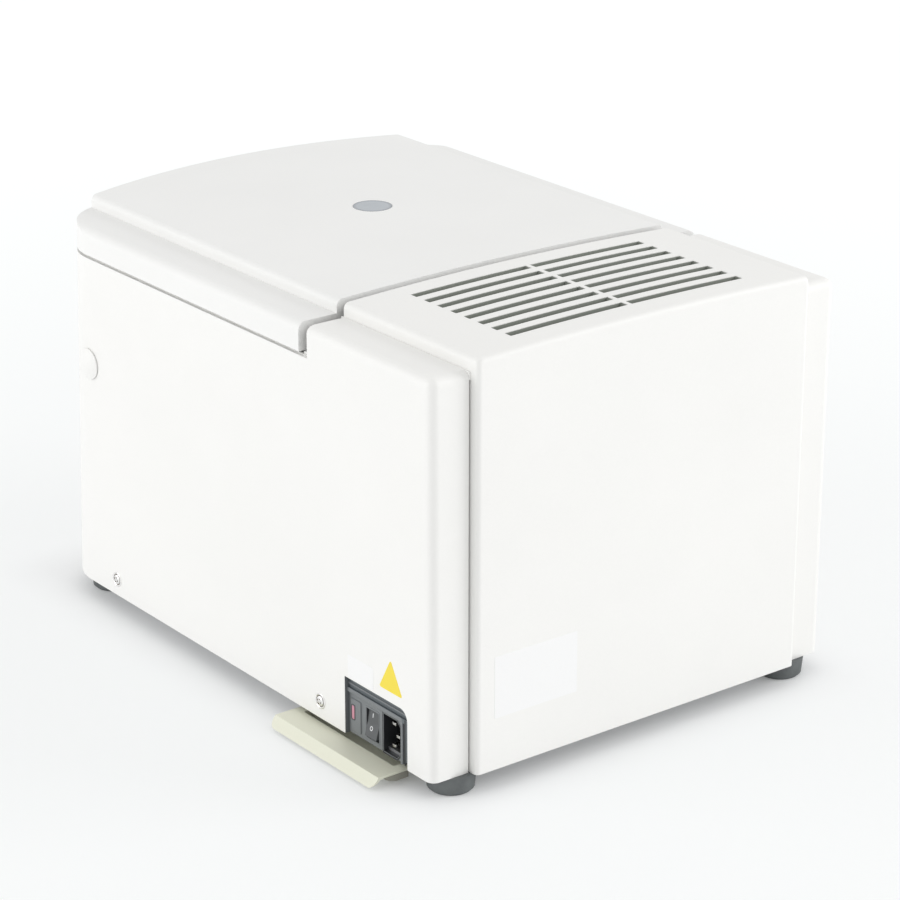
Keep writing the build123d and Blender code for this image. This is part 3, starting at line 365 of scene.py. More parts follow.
def finStack():
    # Condenser: thin aluminium fins side by side along x, as a sawtooth of tone whose dark end is painted
    # shade in the gaps between fins, dulled by dust
    f = Finish("finStack")
    finsAndGapShade = f.node("ShaderNodeTexWave", {"bands_direction": "X", "wave_profile": "SAW"},
                  {"Vector": f.place(), "Scale": 110.0}, output=1)
    dust = f.ramp(f.noise(70, 4, 0.6), 0.35, 0.75)
    return f.wear(Base_Color=f.mix(finsAndGapShade, (0.035, 0.042, 0.050), (0.24, 0.26, 0.28)), Metallic=0.55,
                  Roughness=0.5 + dust * 0.25, Normal=f.bump(finsAndGapShade, 0.7, 0.0012))


def circuitBoard():
    # Boards: green lacquer over the square cells of a track pattern
    f = Finish("circuitBoard")
    cells = f.node("ShaderNodeTexVoronoi", {"feature": "F1", "distance": "CHEBYCHEV"},
                   {"Vector": f.place(), "Scale": 160.0})
    tracks = f.ramp(cells, 0.42, 0.5)
    return f.wear(Base_Color=f.mix(tracks, (0.012, 0.10, 0.045), (0.03, 0.19, 0.085)), Roughness=0.32,
                  Normal=f.bump(tracks, 0.3, 0.0001))


def smokedGlass():
    # Display window: glossy smoked plastic with faint wiping marks
    f = Finish("smokedWindow")
    smear = f.ramp(f.noise(1, 4, 0.6, f.stretched((20, 20, 160))), 0.4, 0.7)
    return f.wear(Base_Color=f.mix(smear, (0.012, 0.016, 0.018), (0.020, 0.025, 0.028)),
                  Roughness=0.07 + smear * 0.10, Coat_Weight=0.5, Coat_Roughness=0.04)


def sightPlastic():
    # Sight disc: grey-blue clear plastic with a darker rim
    f = Finish("sightPlastic")
    rim = f.ramp(f.aroundRotor()[0], 0.0098, 0.0118)
    haze = f.ramp(f.noise(120, 3), 0.3, 0.7)
    body = f.mix(haze * 0.4, (0.335, 0.375, 0.415), (0.40, 0.44, 0.475))
    return f.wear(Base_Color=f.mix(rim, body, (0.22, 0.25, 0.28)), Roughness=0.10 + haze * 0.06,
                  Coat_Weight=0.6, Coat_Roughness=0.05)


def paperLabel(name, colour, rough):
    # Printed film: a faint fibre in its tone and surface
    f = Finish(name)
    fibre = f.noise(900, 3, 0.7)
    return f.wear(Base_Color=f.mix(fibre, shade(colour, 0.975), shade(colour, 1.01)), Roughness=rough,
                  Normal=f.bump(fibre, 0.15, 0.00003))


def inkMark(name, colour):
    # Ink that covers a little unevenly
    f = Finish(name)
    coverage = f.ramp(f.noise(2600, 2), 0.2, 0.55)
    return f.wear(Base_Color=f.mix(coverage, shade(colour, 0.86), colour), Roughness=0.5)


finishes = {
    "housing_white": moulded("housing"),
    "lid_grey": moulded("lid"),
    "liner_plastic": moulded("liner"),
    "deck_plastic": moulded("deck"),
    "panel_grey": moulded("panel"),
    "display_glass": smokedGlass(),
    "board_green": circuitBoard(),
    "key_plastic": moulded("greyKey"),
    "function_key_plastic": moulded("blueKey"),
    "foot_rubber": rubber("foot"),
    "seal_rubber": rubber("seal"),
    "sheet_steel": rolledMetal("sheet"),
    "bright_steel": rolledMetal("bright"),
    "chamber_steel": turnedMetal("chamber"),
    "jacket_foam": foam(),
    "motor_enamel": enamel(),
    "fin_aluminium": finStack(),
    "fan_black": moulded("blackMoulding"),
    "rotor_aluminium": turnedMetal("rotor"),
    "rotor_cover_aluminium": turnedMetal("cover"),
    "inlet_slate": moulded("slate"),
    "rocker_black": moulded("rocker"),
    "pin_metal": rolledMetal("pin"),
    "sight_window": sightPlastic(),
    "tray_beige": moulded("tray"),
    # Finishes of the scene's own pieces, and of nodes made darker or paler than their slot: the inlet
    # module's slate made paler as painted light, the bracket's made darker as painted shade
    "insert_pink": moulded("insert"),
    # Painted shade inside the grille's slots
    "slot_shade_slate": moulded("slotShade"),
    "module_slate_painted_light": moulded("module"),
    "bracket_slate_painted_shade": moulded("bracket"),
    "screw_steel": rolledMetal("screw"),
    # Painted shade for the tray's end walls
    "tray_end_painted_shade": moulded("trayEndShade"),
    "label_white": paperLabel("labelWhite", (0.905, 0.907, 0.905), 0.36),
    "sticker_yellow": paperLabel("stickerYellow", (0.90, 0.72, 0.05), 0.34),
    "ink_dark": inkMark("inkDark", (0.06, 0.065, 0.075)),
    "ink_white": inkMark("inkWhite", (0.86, 0.87, 0.88)),
    "ink_unlit": inkMark("inkUnlit", (0.055, 0.060, 0.058)),
    # Painted shade for the screws' cross recesses and the gap round their heads
    "recess_painted_shade": inkMark("recessShadeBrown", (0.13, 0.10, 0.08)),
}
finishes["knob_black"] = finishes["fan_black"]
finishes["plug_white"] = finishes["housing_white"]
print("finishes made:", len(finishes))

# The module and drawer take the paler slate of painted light, the bracket the darker slate of painted shade
ownFinish = {"inlet_module": "module_slate_painted_light", "fuse_drawer": "module_slate_painted_light", "inlet_bracket": "bracket_slate_painted_shade"}
for name, node in frame["nodes"].items():
    finish = finishes[ownFinish.get(name, slotOfNode[name])]
    if node.material_slots:
        for holder in node.material_slots:
            holder.material = finish
    else:
        node.data.materials.append(finish)


# Surfaces from grids of points
def sheetMesh(name, points, aroundRows=False, aroundColumns=False):
    # Joins a grid of points, rows by columns by 3, into quads; a way round joins its last line to its first
    rows, columns = points.shape[:2]
    index = np.arange(rows * columns).reshape(rows, columns)
    if aroundRows:
        index = np.vstack([index, index[:1]])
    if aroundColumns:
        index = np.hstack([index, index[:, :1]])
    corners = [index[:-1, :-1], index[:-1, 1:], index[1:, 1:], index[1:, :-1]]
    mesh = bpy.data.meshes.new(name)
    mesh.from_pydata(points.reshape(-1, 3), [], np.stack(corners, axis=-1).reshape(-1, 4))
    shell = bmesh.new()
    shell.from_mesh(mesh)
    bmesh.ops.remove_doubles(shell, verts=shell.verts, dist=1e-7)
    bmesh.ops.recalc_face_normals(shell, faces=shell.faces)
    shell.to_mesh(mesh)
    shell.free()
    return mesh


def joinedMesh(name, meshes):
    # Several meshes as one
    whole = bmesh.new()
    for part in meshes:
        whole.from_mesh(part)
    mesh = bpy.data.meshes.new(name)
    whole.to_mesh(mesh)
    whole.free()
    return mesh


def piece(name, mesh, finish, body, flatAngle=32):
    # An object of the scene on its body, smooth but for edges sharper than flatAngle degrees
    made = bpy.data.objects.new(name, mesh)
    bpy.context.scene.collection.objects.link(made)
    mesh.materials.append(finishes[finish])
    mesh.shade_smooth()
    mesh.set_sharp_from_angle(angle=np.radians(flatAngle))
    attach(made, body)
    return made


# Flat shapes are drawn in millimetres and laid on a place: an origin and its right, up and outward ways
def frameOf(origin, outward, upward):
    # A place seen from outside, with its up direction squared to the outward one
    out = np.array(outward, float)
    out /= np.linalg.norm(out)
    up = np.array(upward, float)
    up -= out * (up @ out)
    up /= np.linalg.norm(up)
    return np.array(origin), np.cross(up, out), up, out


def moved(place, along, upward, outward=0.0):
    # The same place shifted to its right, up and outward
    origin, right, up, out = place
    return origin + (along * right + upward * up + outward * out) * mm, right, up, out


def laid(place, flat, height=0.0):
    # Flat points on a place: origin + x * right + y * up + height * out
    origin, right, up, out = place
    return origin + (flat[:, :1] * right + flat[:, 1:] * up + height * out) * mm


def sideFace(reach, z, side=1, upward=(0, 0, 1)):
    # A place on a side cover's outer face: side 1 has the inlet and side -1 is the other
    origin = spot(0, reach, z)
    origin[0] += side * (sideX - middleX)
    return frameOf(origin, (side, 0, 0), upward)


def inletFace(reach, z, lift=0.0):
    # A place on the inlet module's face, lifted outward
    return frameOf(spot(inletFaceX + lift, reach, z), (1, 0, 0), (0, 0, 1))


def roundedOutline(corners, radius, steps=6):
    # Corners of a convex polygon rounded by arcs of one radius, as points one after another
    corners = np.array(corners, float)
    before, after = np.roll(corners, 1, axis=0), np.roll(corners, -1, axis=0)
    toBefore = (before - corners) / np.linalg.norm(before - corners, axis=1)[:, None]
    toAfter = (after - corners) / np.linalg.norm(after - corners, axis=1)[:, None]
    half = np.arccos(np.clip((toBefore * toAfter).sum(1), -1, 1)) / 2
    middle = toBefore + toAfter
    middle /= np.linalg.norm(middle, axis=1)[:, None]
    centre = corners + middle * (radius / np.sin(half))[:, None]
    start = corners + toBefore * (radius / np.tan(half))[:, None] - centre
    end = corners + toAfter * (radius / np.tan(half))[:, None] - centre
    share = np.linspace(0, 1, steps)[None, :, None]
    arc = start[:, None] * (1 - share) + end[:, None] * share
    arc *= radius / np.linalg.norm(arc, axis=2, keepdims=True)
    return (centre[:, None] + arc).reshape(-1, 2)


def ovalOutline(width, height, steps=48):
    # Half the width times the cosine and half the height times the sine of a full turn
    turn = np.linspace(0, 2 * np.pi, steps, endpoint=False)
    return np.stack([np.cos(turn) * width / 2, np.sin(turn) * height / 2], axis=1)


def boxOutline(size, radius=None, steps=6):
    # A rectangle about its middle, with rounded corners where a radius is given
    w, h = size[0] / 2, size[1] / 2
    corners = [(-w, -h), (w, -h), (w, h), (-w, h)]
    return roundedOutline(corners, radius, steps) if radius else np.array(corners, float)


def slabMesh(name, place, outline, levels):
    # A convex outline carried outward through levels of (shrink, height), closed by its middle at both ends.
    # Each point keeps 1 - shrink / reach of its way from the middle, where reach is the least of these ways.
    centre = outline.mean(axis=0)
    reach = np.linalg.norm(outline - centre, axis=1).min()
    rings = []
    for shrink, height in [(reach, levels[0][1]), *levels, (reach, levels[-1][1])]:
        flat = centre + (outline - centre) * max(0.0, 1 - shrink / reach)
        rings.append(laid(place, flat, height))
    return sheetMesh(name, np.array(rings), aroundColumns=True)


def turnedMesh(name, place, profile, steps):
    # A profile of (radius, height) turned about the outward axis of a place
    circle = ovalOutline(2, 2, steps)
    rings = [laid(place, circle * radius, height) for radius, height in profile]
    return sheetMesh(name, np.array(rings), aroundColumns=True)


def ringMesh(name, place, outline, width, thick, lift=0.0):
    # A low rounded strip along a closed outline: its points are drawn in towards the middle by up to the
    # width, while the height rises from -thick to thick and falls again
    centre = outline.mean(axis=0)
    reach = np.linalg.norm(outline - centre, axis=1)[:, None]
    rings = []
    for inward, rise in ((0, -1), (0, 0.6), (0.15, 1), (0.85, 1), (1, 0.6), (1, -1)):
        flat = centre + (outline - centre) * (1 - inward * width / reach)
        rings.append(laid(place, flat, lift + rise * thick))
    return sheetMesh(name, np.array(rings), aroundRows=True, aroundColumns=True)


def inkSlab(place, outline, lift=0.0, thick=0.04):
    # A mark as thick again below its place as above it
    return slabMesh("ink", moved(place, 0, 0, lift), outline, [(0, -thick), (0, thick)])


def tubeMesh(name, place, rows):
    # A tube wall whose rows are (outline, depth below the place), joined round to the first
    rings = [laid(place, outline, -depth) for outline, depth in rows]
    return sheetMesh(name, np.array(rings), aroundRows=True, aroundColumns=True)


# Bare labels
ratingPlate = {"x": 80.3, "z": 63.4, "size": (60.2, 38.3), "round": 0.8}
fuseLabel = {"reach": 74.5, "z": 57, "size": (25, 14), "round": 0.8}
sticker = {"reach": 45.1, "z": 55.3, "corners": ((-11.2, 0), (11.2, 0), (0, 20.2)), "round": 1.0}
labelFilm = {"thick": 0.12, "sink": 0.02, "shoulder": 0.6, "ease": (0.06, 1.2)}


def labelMesh(name, place, outline):
    # A film with an eased edge: upright to its shoulder, then drawn in over the ease to its full thickness
    thick = labelFilm["thick"]
    edge, inner = labelFilm["ease"]
    return slabMesh(name, place, outline, [
        (0, -labelFilm["sink"]), (0, thick * labelFilm["shoulder"]), (edge, thick), (inner, thick)])


place = frameOf(spot(ratingPlate["x"], 0, ratingPlate["z"]), (0, 1, 0), (0, 0, 1))
outline = boxOutline(ratingPlate["size"], ratingPlate["round"])
piece("rating_plate", labelMesh("ratingPlate", place, outline), "label_white", "housing")
place = sideFace(fuseLabel["reach"], fuseLabel["z"])
outline = boxOutline(fuseLabel["size"], fuseLabel["round"])
piece("fuse_label", labelMesh("fuseLabel", place, outline), "label_white", "housing")
place = sideFace(sticker["reach"], sticker["z"])
outline = roundedOutline(sticker["corners"], sticker["round"])
piece("yellow_sticker", labelMesh("yellowSticker", place, outline), "sticker_yellow", "housing")
print("labels made")

# Side screws: a cup washer, a raised head and a cross recess, with dark bars in the recess and a dark ring
# at the head's seat as painted shade
screws = {"washer": 5.0, "head": 3.2, "stand": 1.05, "recess": 4.0, "slot": 1.25, "turned": (0, 0.35, 1)}
rim, head, stand = screws["washer"], screws["head"], screws["stand"]
screwLow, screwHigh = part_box("side_screws")
screwReaches = (forwardTo(screwLow.y) - rim, forwardTo(screwHigh.y) + rim)
screwHeight = middleOf("side_screws")[1]
washerProfile = [(rim, -0.2), (rim, 0.25), (rim - 0.35, 0.55), (rim - 0.8, 0.6), (head + 0.25, 0.15),
                 (head + 0.1, 0.0)]
headProfile = [(head, 0.0), (head, 0.35), (head - 0.25, 0.6), (head * 0.75, stand - 0.14),
               (head * 0.45, stand - 0.03), (0, stand)]
# The seat: a dark ring between head and washer, painted shade for the gap there
seatProfile = [(head + 0.04, 0.05), (head + 0.04, 0.3), (head + 0.5, 0.34), (head + 0.5, 0.05)]


def crossBar(place, length, width, floor, top):
    # A dark bar, painted shade in the cross recess, whose ends slope down into the head, on a grid along and
    # across from -1 to 1: its height is floor + (top - floor) * the larger of |along| cubed and 0.6 *
    # |across| to the fourth
    along, across = np.meshgrid(np.linspace(-1, 1, 9), np.linspace(-1, 1, 5), indexing="ij")
    height = floor + (top - floor) * np.maximum(np.abs(along) ** 3, np.abs(across) ** 4 * 0.6)
    flat = np.stack([along.ravel() * length / 2, across.ravel() * width / 2], axis=1)
    return sheetMesh("crossBar", laid(place, flat, height.reshape(-1, 1)).reshape(*along.shape, 3))


for side, label in ((1, "right"), (-1, "left")):
    for number, reach in enumerate(screwReaches, 1):
        place = sideFace(reach, screwHeight, side, screws["turned"])
        origin, right, up, out = place
        washer = turnedMesh("washer", place, washerProfile, 48)
        cap = turnedMesh("head", place, headProfile, 40)
        dark = [crossBar(way, screws["recess"], screws["slot"], stand - 0.05, stand + 0.02)
                for way in (place, (origin, -up, right, out))]
        dark.append(turnedMesh("seat", place, seatProfile, 40))
        name = f"side_screw_{label}_{number}"
        screw = piece(name, joinedMesh("screw", [washer, cap]), "screw_steel", "housing")
        bars = joinedMesh("recess", dark)
        recess = piece(name + "_recess", bars, "recess_painted_shade", "housing")
        for part in (screw, recess):
            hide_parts("side_screws")
print("screws made")

# Fuse drawer: a cover over its front, and a sight insert with a dark rim
drawer = {"size": (9.9, 20.9), "round": 1.0, "top": 0.75}
insert = {"reach": 85.2, "z": 26.8, "size": (2.3, 8.6), "round": 0.5, "rim": 0.65, "rimRound": 0.9,
          "rimWidth": 0.6, "rimTop": 0.32}
top = drawer["top"]
drawerReach, inletHeight = middleOf("fuse_drawer")
place = inletFace(drawerReach, inletHeight)
outline = boxOutline(drawer["size"], drawer["round"])
levels = [(0, 0.01), (0.12, 0.25), (0.45, top - 0.06), (0.8, top), (1.6, top)]
cover = slabMesh("drawerCover", place, outline, levels)
piece("fuse_drawer_cover", cover, "module_slate_painted_light", "fuse_drawer")
place = inletFace(insert["reach"], insert["z"], top)
outline = boxOutline(insert["size"], insert["round"])
window = slabMesh("insert", place, outline, [(0, -0.05), (0, 0.12), (0.3, 0.25)])
piece("fuse_insert", window, "insert_pink", "fuse_drawer")
outline = boxOutline([side + 2 * insert["rim"] for side in insert["size"]], insert["rimRound"])
rim = ringMesh("insertRim", place, outline, insert["rimWidth"], insert["rimTop"])
piece("fuse_insert_rim", rim, "rocker_black", "fuse_drawer")

# Rocker: a bezel and a dark well round it, and its two marks
bezel = {"size": (14.0, 21.0), "round": 1.2, "width": 1.1, "thick": 0.25}
rockerWell = {"size": (11.86, 18.76), "lip": 0.05, "deep": 8.5, "inner": 0.98}
rocker = {"pivot": 4.0, "tilt": -11.0, "faceX": 3.95, "faceZ": 4.25, "dip": 4.7, "shift": 0.9}
rockerReach = middleOf("power_rocker")[0]
onMark = {"size": (0.6, 2.6), "rise": 0.8, "lift": 0.07}
offMark = {"size": (2.6, 2.8), "rise": 1.2, "lift": 0.05, "width": 0.48, "thick": 0.04}
place = inletFace(rockerReach, inletHeight)
outline = boxOutline(bezel["size"], bezel["round"])
strip = ringMesh("bezel", place, outline, bezel["width"], bezel["thick"])
piece("rocker_bezel", strip, "module_slate_painted_light", "housing")
outer = boxOutline(rockerWell["size"])
inner = outer * rockerWell["inner"]
lip, deep = rockerWell["lip"], rockerWell["deep"]
wall = tubeMesh("rockerWell", place, [(outer, lip), (outer, deep), (inner, deep), (inner, lip)])
piece("rocker_well", wall, "fan_black", "housing")


def rockerFace(way, rise):
    # A place on the rocker's upper (way 1) or lower (way -1) half, which dips from its middle, turned by
    # the rocker's tilt about its pivot: x cos + z sin outward and z cos - x sin upward
    tilt, dip = np.radians(rocker["tilt"]), np.radians(rocker["dip"]) * way
    x = rocker["faceX"] + rise * np.tan(dip)
    z = rocker["faceZ"] * way + rise
    centre = spot(inletFaceX - rocker["pivot"] + x * np.cos(tilt) + z * np.sin(tilt),
                  rockerReach + rocker["shift"], inletHeight - x * np.sin(tilt) + z * np.cos(tilt))
    return frameOf(centre, (np.cos(dip + tilt), 0, -np.sin(dip + tilt)), (0, 0, 1))


mark = inkSlab(rockerFace(1, onMark["rise"]), boxOutline(onMark["size"]), onMark["lift"])
piece("rocker_mark_on", mark, "ink_white", "rocker", 60)
place = rockerFace(-1, offMark["rise"])
outline = ovalOutline(*offMark["size"])
mark = ringMesh("offMark", place, outline, offMark["width"], offMark["thick"], offMark["lift"])
piece("rocker_mark_off", mark, "ink_white", "rocker", 60)

# Socket: a raised rim, and a thin black cup inside the moulding
socket = {"size": (19.0, 26.6), "cut": 4.8, "round": 0.8, "width": 1.0, "thick": 0.12}
cup = {"size": (16.8, 24.0), "cut": 4.0, "lip": 0.05, "deep": 14.0, "outer": 0.998, "inner": 0.985,
       "floor": 0.99, "floorLevels": (0.02, 0.14)}


def socketOutline(look):
    # A rectangle with its two corners on the right cut off
    w, h, cut = look["size"][0] / 2, look["size"][1] / 2, look["cut"]
    return np.array([(-w, -h), (w - cut, -h), (w, -h + cut), (w, h - cut), (w - cut, h), (-w, h)])


place = inletFace(*middleOf("mains_pins"))
outline = roundedOutline(socketOutline(socket), socket["round"])
strip = ringMesh("socketRim", place, outline, socket["width"], socket["thick"])
piece("socket_rim", strip, "fan_black", "housing")
outline = socketOutline(cup)
outer, inner = outline * cup["outer"], outline * cup["inner"]
lip, deep = cup["lip"], cup["deep"]
low, high = cup["floorLevels"]
wall = tubeMesh("wellWall", place, [(outer, lip), (outer, deep - low), (inner, deep - high), (inner, lip)])
bottom = slabMesh("wellFloor", moved(place, 0, 0, -deep), outline * cup["floor"], [(0, low), (0, high)])
piece("socket_well", joinedMesh("socketWell", [wall, bottom]), "fan_black", "housing")

# Pin tips: rounded ends that carry the mains pins forward in the well
pinTips = {"shifts": ((2.0, 7.0), (2.0, -7.0), (-2.0, 0.0)), "size": (4.0, 2.0), "round": 0.3,
           "length": 2.3}
long = pinTips["length"]
pinEnd = acrossTo(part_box("mains_pins")[1].x) - inletFaceX
socketReach, socketHeight = middleOf("mains_pins")
tips = []
for forward, rise in pinTips["shifts"]:
    place = inletFace(socketReach + forward, socketHeight + rise, pinEnd)
    tips.append(slabMesh("pinTip", place, boxOutline(pinTips["size"], pinTips["round"]), [
        (0, -0.05), (0, long - 0.7), (0.3, long - 0.2), (0.7, long)]))
piece("mains_pin_tips", joinedMesh("pinTips", tips), "pin_metal", "housing")

# Inlet frame and ridge: raised strips round the module, each between an outer and an inner corner path
inletFrame = {"outer": {"front": 90.15, "rear": 36.5, "top": 41.45, "bottom": 12.4, "round": 2.4},
              "inner": {"front": 90.15, "rear": 38.5, "top": 38.6, "bottom": 12.4, "round": 0.8},
              "rise": 1.35, "bevel": 0.2}
inletRidge = {"outer": {"front": 90.3, "rear": 32.4, "top": 44.6, "bottom": 41.6, "round": 2.6},
              "inner": {"front": 90.3, "rear": 33.5, "top": 43.5, "bottom": 41.6, "round": 1.8},
              "rise": 0.55, "bevel": 0.2}
quarterTurn = np.linspace(np.pi / 2, 0, 9)


def cornerArc(look, inward=0.0):
    # A quarter turn from a top edge down to a rear edge, drawn in by inward: points of (reach, z)
    radius = look["round"] - inward
    return np.stack([look["rear"] + look["round"] - radius * np.cos(quarterTurn),
                     look["top"] - look["round"] + radius * np.sin(quarterTurn)], axis=1)


def cornerPath(look):
    # From the front along a top edge, round one corner and down: points of (reach, z)
    return np.vstack([[(look["front"], look["top"])], cornerArc(look), [(look["rear"], look["bottom"])]])


def cornerFrame(name, look):
    # A raised frame between two corner paths: each row keeps one share of the way between them and one x,
    # so that the walls rise from the module's face and the edges are bevelled
    first, second = cornerPath(look["outer"]), cornerPath(look["inner"])
    bevel, low, high = look["bevel"], inletFaceX, inletFaceX + look["rise"]
    edge = high - bevel
    rows = []
    for share, x in ((0, low), (0, edge), (bevel, high), (1 - bevel, high), (1, edge), (1, low)):
        line = first * (1 - share) + second * share
        rows.append(spot(x, line[:, 0], line[:, 1]))
    return sheetMesh(name, np.array(rows), aroundRows=True)


piece("inlet_frame", cornerFrame("inletFrame", inletFrame), "module_slate_painted_light", "housing")
piece("inlet_ridge", cornerFrame("inletRidge", inletRidge), "module_slate_painted_light", "housing")

# Painted shadow: a dark upright strip behind the frame, painted shade for the shadowed recess beside the
# module, through steps of (rise above the face, reach)
paintedShadowStrip = {"z": (12.3, 41.2), "steps": ((0.06, 37.6), (0.06, 34.72), (1.24, 34.72), (1.24, 33.5)),
             "thick": 0.05}
steps = np.array(paintedShadowStrip["steps"]) + (inletFaceX, 0)
outline = np.vstack([steps, steps[::-1] - (paintedShadowStrip["thick"], 0)])
rows = [spot(outline[:, 0], outline[:, 1], z) for z in paintedShadowStrip["z"]]
strip = sheetMesh("paintedShadowStrip", np.array(rows), aroundColumns=True)
piece("inlet_painted_shadow", strip, "fan_black", "housing")

lining = {"front": 90.5, "rear": 29.5, "top": 48.8, "bottom": 12.1, "round": 7.0, "inset": 0.15,
          "thick": 0.27, "sink": 0.5, "bevel": 0.1}


def liningMesh():
    # Thin dark lining of the cut-out: up its front edge, back along its top, round the corner and down.
    # Each row lies at its share of half the thickness from the path, along the path's inward direction.
    half = lining["thick"] / 2
    front, rear = lining["front"] - half, lining["rear"] + half
    path = np.vstack([[(front, lining["bottom"]), (front, lining["top"] - half)], cornerArc(lining, half),
                      [(rear, lining["bottom"])]])
    arcInward = np.stack([np.cos(quarterTurn), -np.sin(quarterTurn)], axis=1)
    inward = np.vstack([[(-1, 0), (-1, -1)], arcInward, [(1, 0)]])
    near, far = inletFaceX - lining["sink"], halfWidth - lining["inset"]
    edge = far - lining["bevel"]
    rows = []
    for share, x in ((1, near), (1, edge), (0.6, far), (-0.6, far), (-1, edge), (-1, near)):
        line = path + inward * half * share
        rows.append(spot(x, line[:, 0], line[:, 1]))
    return sheetMesh("lining", np.array(rows), aroundRows=True)


piece("inlet_lining", liningMesh(), "inlet_slate", "housing")
print("inlet made")

# Tray: a darker end plate on the outer face of each end web, from below its rim down past its lower edge;
# its dark tone is painted shade for the shadow under the flange's end
trayEndShade = {"thick": 0.35, "clear": 0.01,
           "outline": ((143.7, 7.1), (143.7, 3.1), (152.5, 3.1), (157.0, 4.3), (160.0, 5.9), (161.2, 7.1))}
trayLow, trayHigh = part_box("condensate_tray")
outline = np.array(trayEndShade["outline"])
middle = np.tile(outline.mean(axis=0), (len(outline), 1))
for label, way, y in (("rear", -1, trayHigh.y), ("front", 1, trayLow.y)):
    near, far = (forwardTo(y) + way * trayEndShade[key] for key in ("clear", "thick"))
    rows = [spot(ring[:, 0], reach, ring[:, 1])
            for ring, reach in ((middle, near), (outline, near), (outline, far), (middle, far))]
    plate = sheetMesh("trayEndShade", np.array(rows), aroundColumns=True)
    piece("tray_end_" + label, plate, "tray_end_painted_shade", "tray")
print("tray ends made")

# Ribs that close the gaps between covers: the seam strip backs the seam under the lid, the sill closes
# the foot of the gap behind the lid, and the deck seam closes the foot of the raised deck's sides
seamStrip = {"rear": 126.4, "inset": (4.6, 3.4, 2.0), "z": (231.4, 234.6, 234.8, 235.0), "lipWidth": 0.3,
             "backEase": 0.4, "turn": 66}
gapSill = {"inset": (3.5, 22.0), "z": (231.4, 236.25), "reach": (126.3, 131.1)}
deckSeam = {"clear": 0.06, "z": (249.0, 253.8), "reach": (6.8, 125.6)}
frontCorner = {"round": 40.0, "bow": 488.0}  # radii in plan of the housing's front corner and its bow
deep, inside, lip = seamStrip["inset"]
low, shelf, edge, high = seamStrip["z"]
seamProfile = [(deep, low), (inside, low), (inside, shelf), (lip, shelf), (lip, edge),
               (lip + seamStrip["lipWidth"], high), (deep - seamStrip["backEase"], high), (deep, edge)]
cornerX = halfWidth - frontCorner["round"]
bowRadius = frontCorner["bow"] - frontCorner["round"]
bowReach = frontReach - (shelf - footHeight) * np.tan(np.radians(frontLean)) - frontCorner["bow"]
cornerReach = bowReach + np.sqrt(bowRadius ** 2 - cornerX ** 2)  # the corner's arc then touches the bow


def ribMesh(name, rows):
    # The rows of a closed profile carried along a path, both ends drawn together to the profile's middle
    rows = np.array(rows)
    ends = rows.mean(axis=0)
    first, last = (np.tile(ends[k], (len(rows), 1))[:, None] for k in (0, -1))
    return sheetMesh(name, np.concatenate([first, rows, last], axis=1), aroundRows=True)


def seamRow(side, inset, z):
    # Straight forward along the side, then round the front corner: the corner's centre plus its radius,
    # less the inset, times the cosine and sine of the turn
    turn = np.radians(np.linspace(0, seamStrip["turn"], 12))
    bend = frontCorner["round"] - inset
    arc = np.stack([cornerX + bend * np.cos(turn), cornerReach + bend * np.sin(turn)], axis=1)
    line = np.vstack([(halfWidth - inset, seamStrip["rear"]), arc])
    return spot(side * line[:, 0], line[:, 1], z)


def barRows(edges, heights, reaches):
    # A straight bar of rectangular section between two x, two z and two reaches
    (near, far), (bottom, top) = edges, heights
    return [spot(x, reaches, z) for x, z in ((near, bottom), (far, bottom), (far, top), (near, top))]


for side, label in ((1, "right"), (-1, "left")):
    rib = ribMesh("seamStrip", [seamRow(side, inset, z) for inset, z in seamProfile])
    piece("seam_strip_" + label, rib, "housing_white", "housing")
    sillEdges = [side * (halfWidth - inset) for inset in gapSill["inset"]]
    rib = ribMesh("gapSill", barRows(sillEdges, gapSill["z"], gapSill["reach"]))
    piece("gap_sill_" + label, rib, "housing_white", "housing")
    deckEdges = [side * (deckHalf + deckSeam["clear"]), side * (sideInnerX - deckSeam["clear"])]
    rib = ribMesh("deckSeam", barRows(deckEdges, deckSeam["z"], deckSeam["reach"]))
    piece("deck_seam_" + label, rib, "housing_white", "housing")
print("seams made")

# Grille: a dark liner in each slot a little below the deck's surface, painted shade for the slots' dark
# insides
grille = {"count": 8, "pitch": 12.4, "first": 21.2, "width": 6.0, "half": 86.0, "rib": 2.8, "round": 0.6,
          "under": 0.35, "deep": 4.5, "thick": 0.12, "crown": 2.5, "points": 14}


def crownHeight(x):
    # The raised deck's height: an arc through its two side edges that rises by the crown at its middle
    radius = (deckHalf ** 2 + grille["crown"] ** 2) / (2 * grille["crown"])
    return deckTop - radius + np.sqrt(radius ** 2 - x ** 2)


length = grille["half"] - grille["rib"] / 2
wide, tall = length - 2 * grille["thick"], grille["width"] - 2 * grille["thick"]
ends = boxOutline((wide, tall), grille["round"])
steps = np.linspace(1 - wide / 2, wide / 2 - 1, grille["points"])
lower = np.stack([steps, np.full(len(steps), -tall / 2)], axis=1)
upper = lower[::-1] * (1, -1)
outline = np.vstack([lower, ends[ends[:, 0] > 0], upper, ends[ends[:, 0] < 0]])
slotShades = []
for row in range(grille["count"]):
    reach = grille["first"] + row * grille["pitch"]
    for side in (1, -1):
        x = side * (grille["rib"] + length) / 2 + outline[:, 0]
        surface = crownHeight(x)
        rings = [spot(x, reach + outline[:, 1], surface - under)
                 for under in (grille["under"], grille["under"] + grille["deep"])]
        slotShades.append(sheetMesh("slotShade", np.array(rings), aroundColumns=True))
piece("grille_slot_shade", joinedMesh("grilleSlotShade", slotShades), "slot_shade_slate", "housing")
print("grille made")

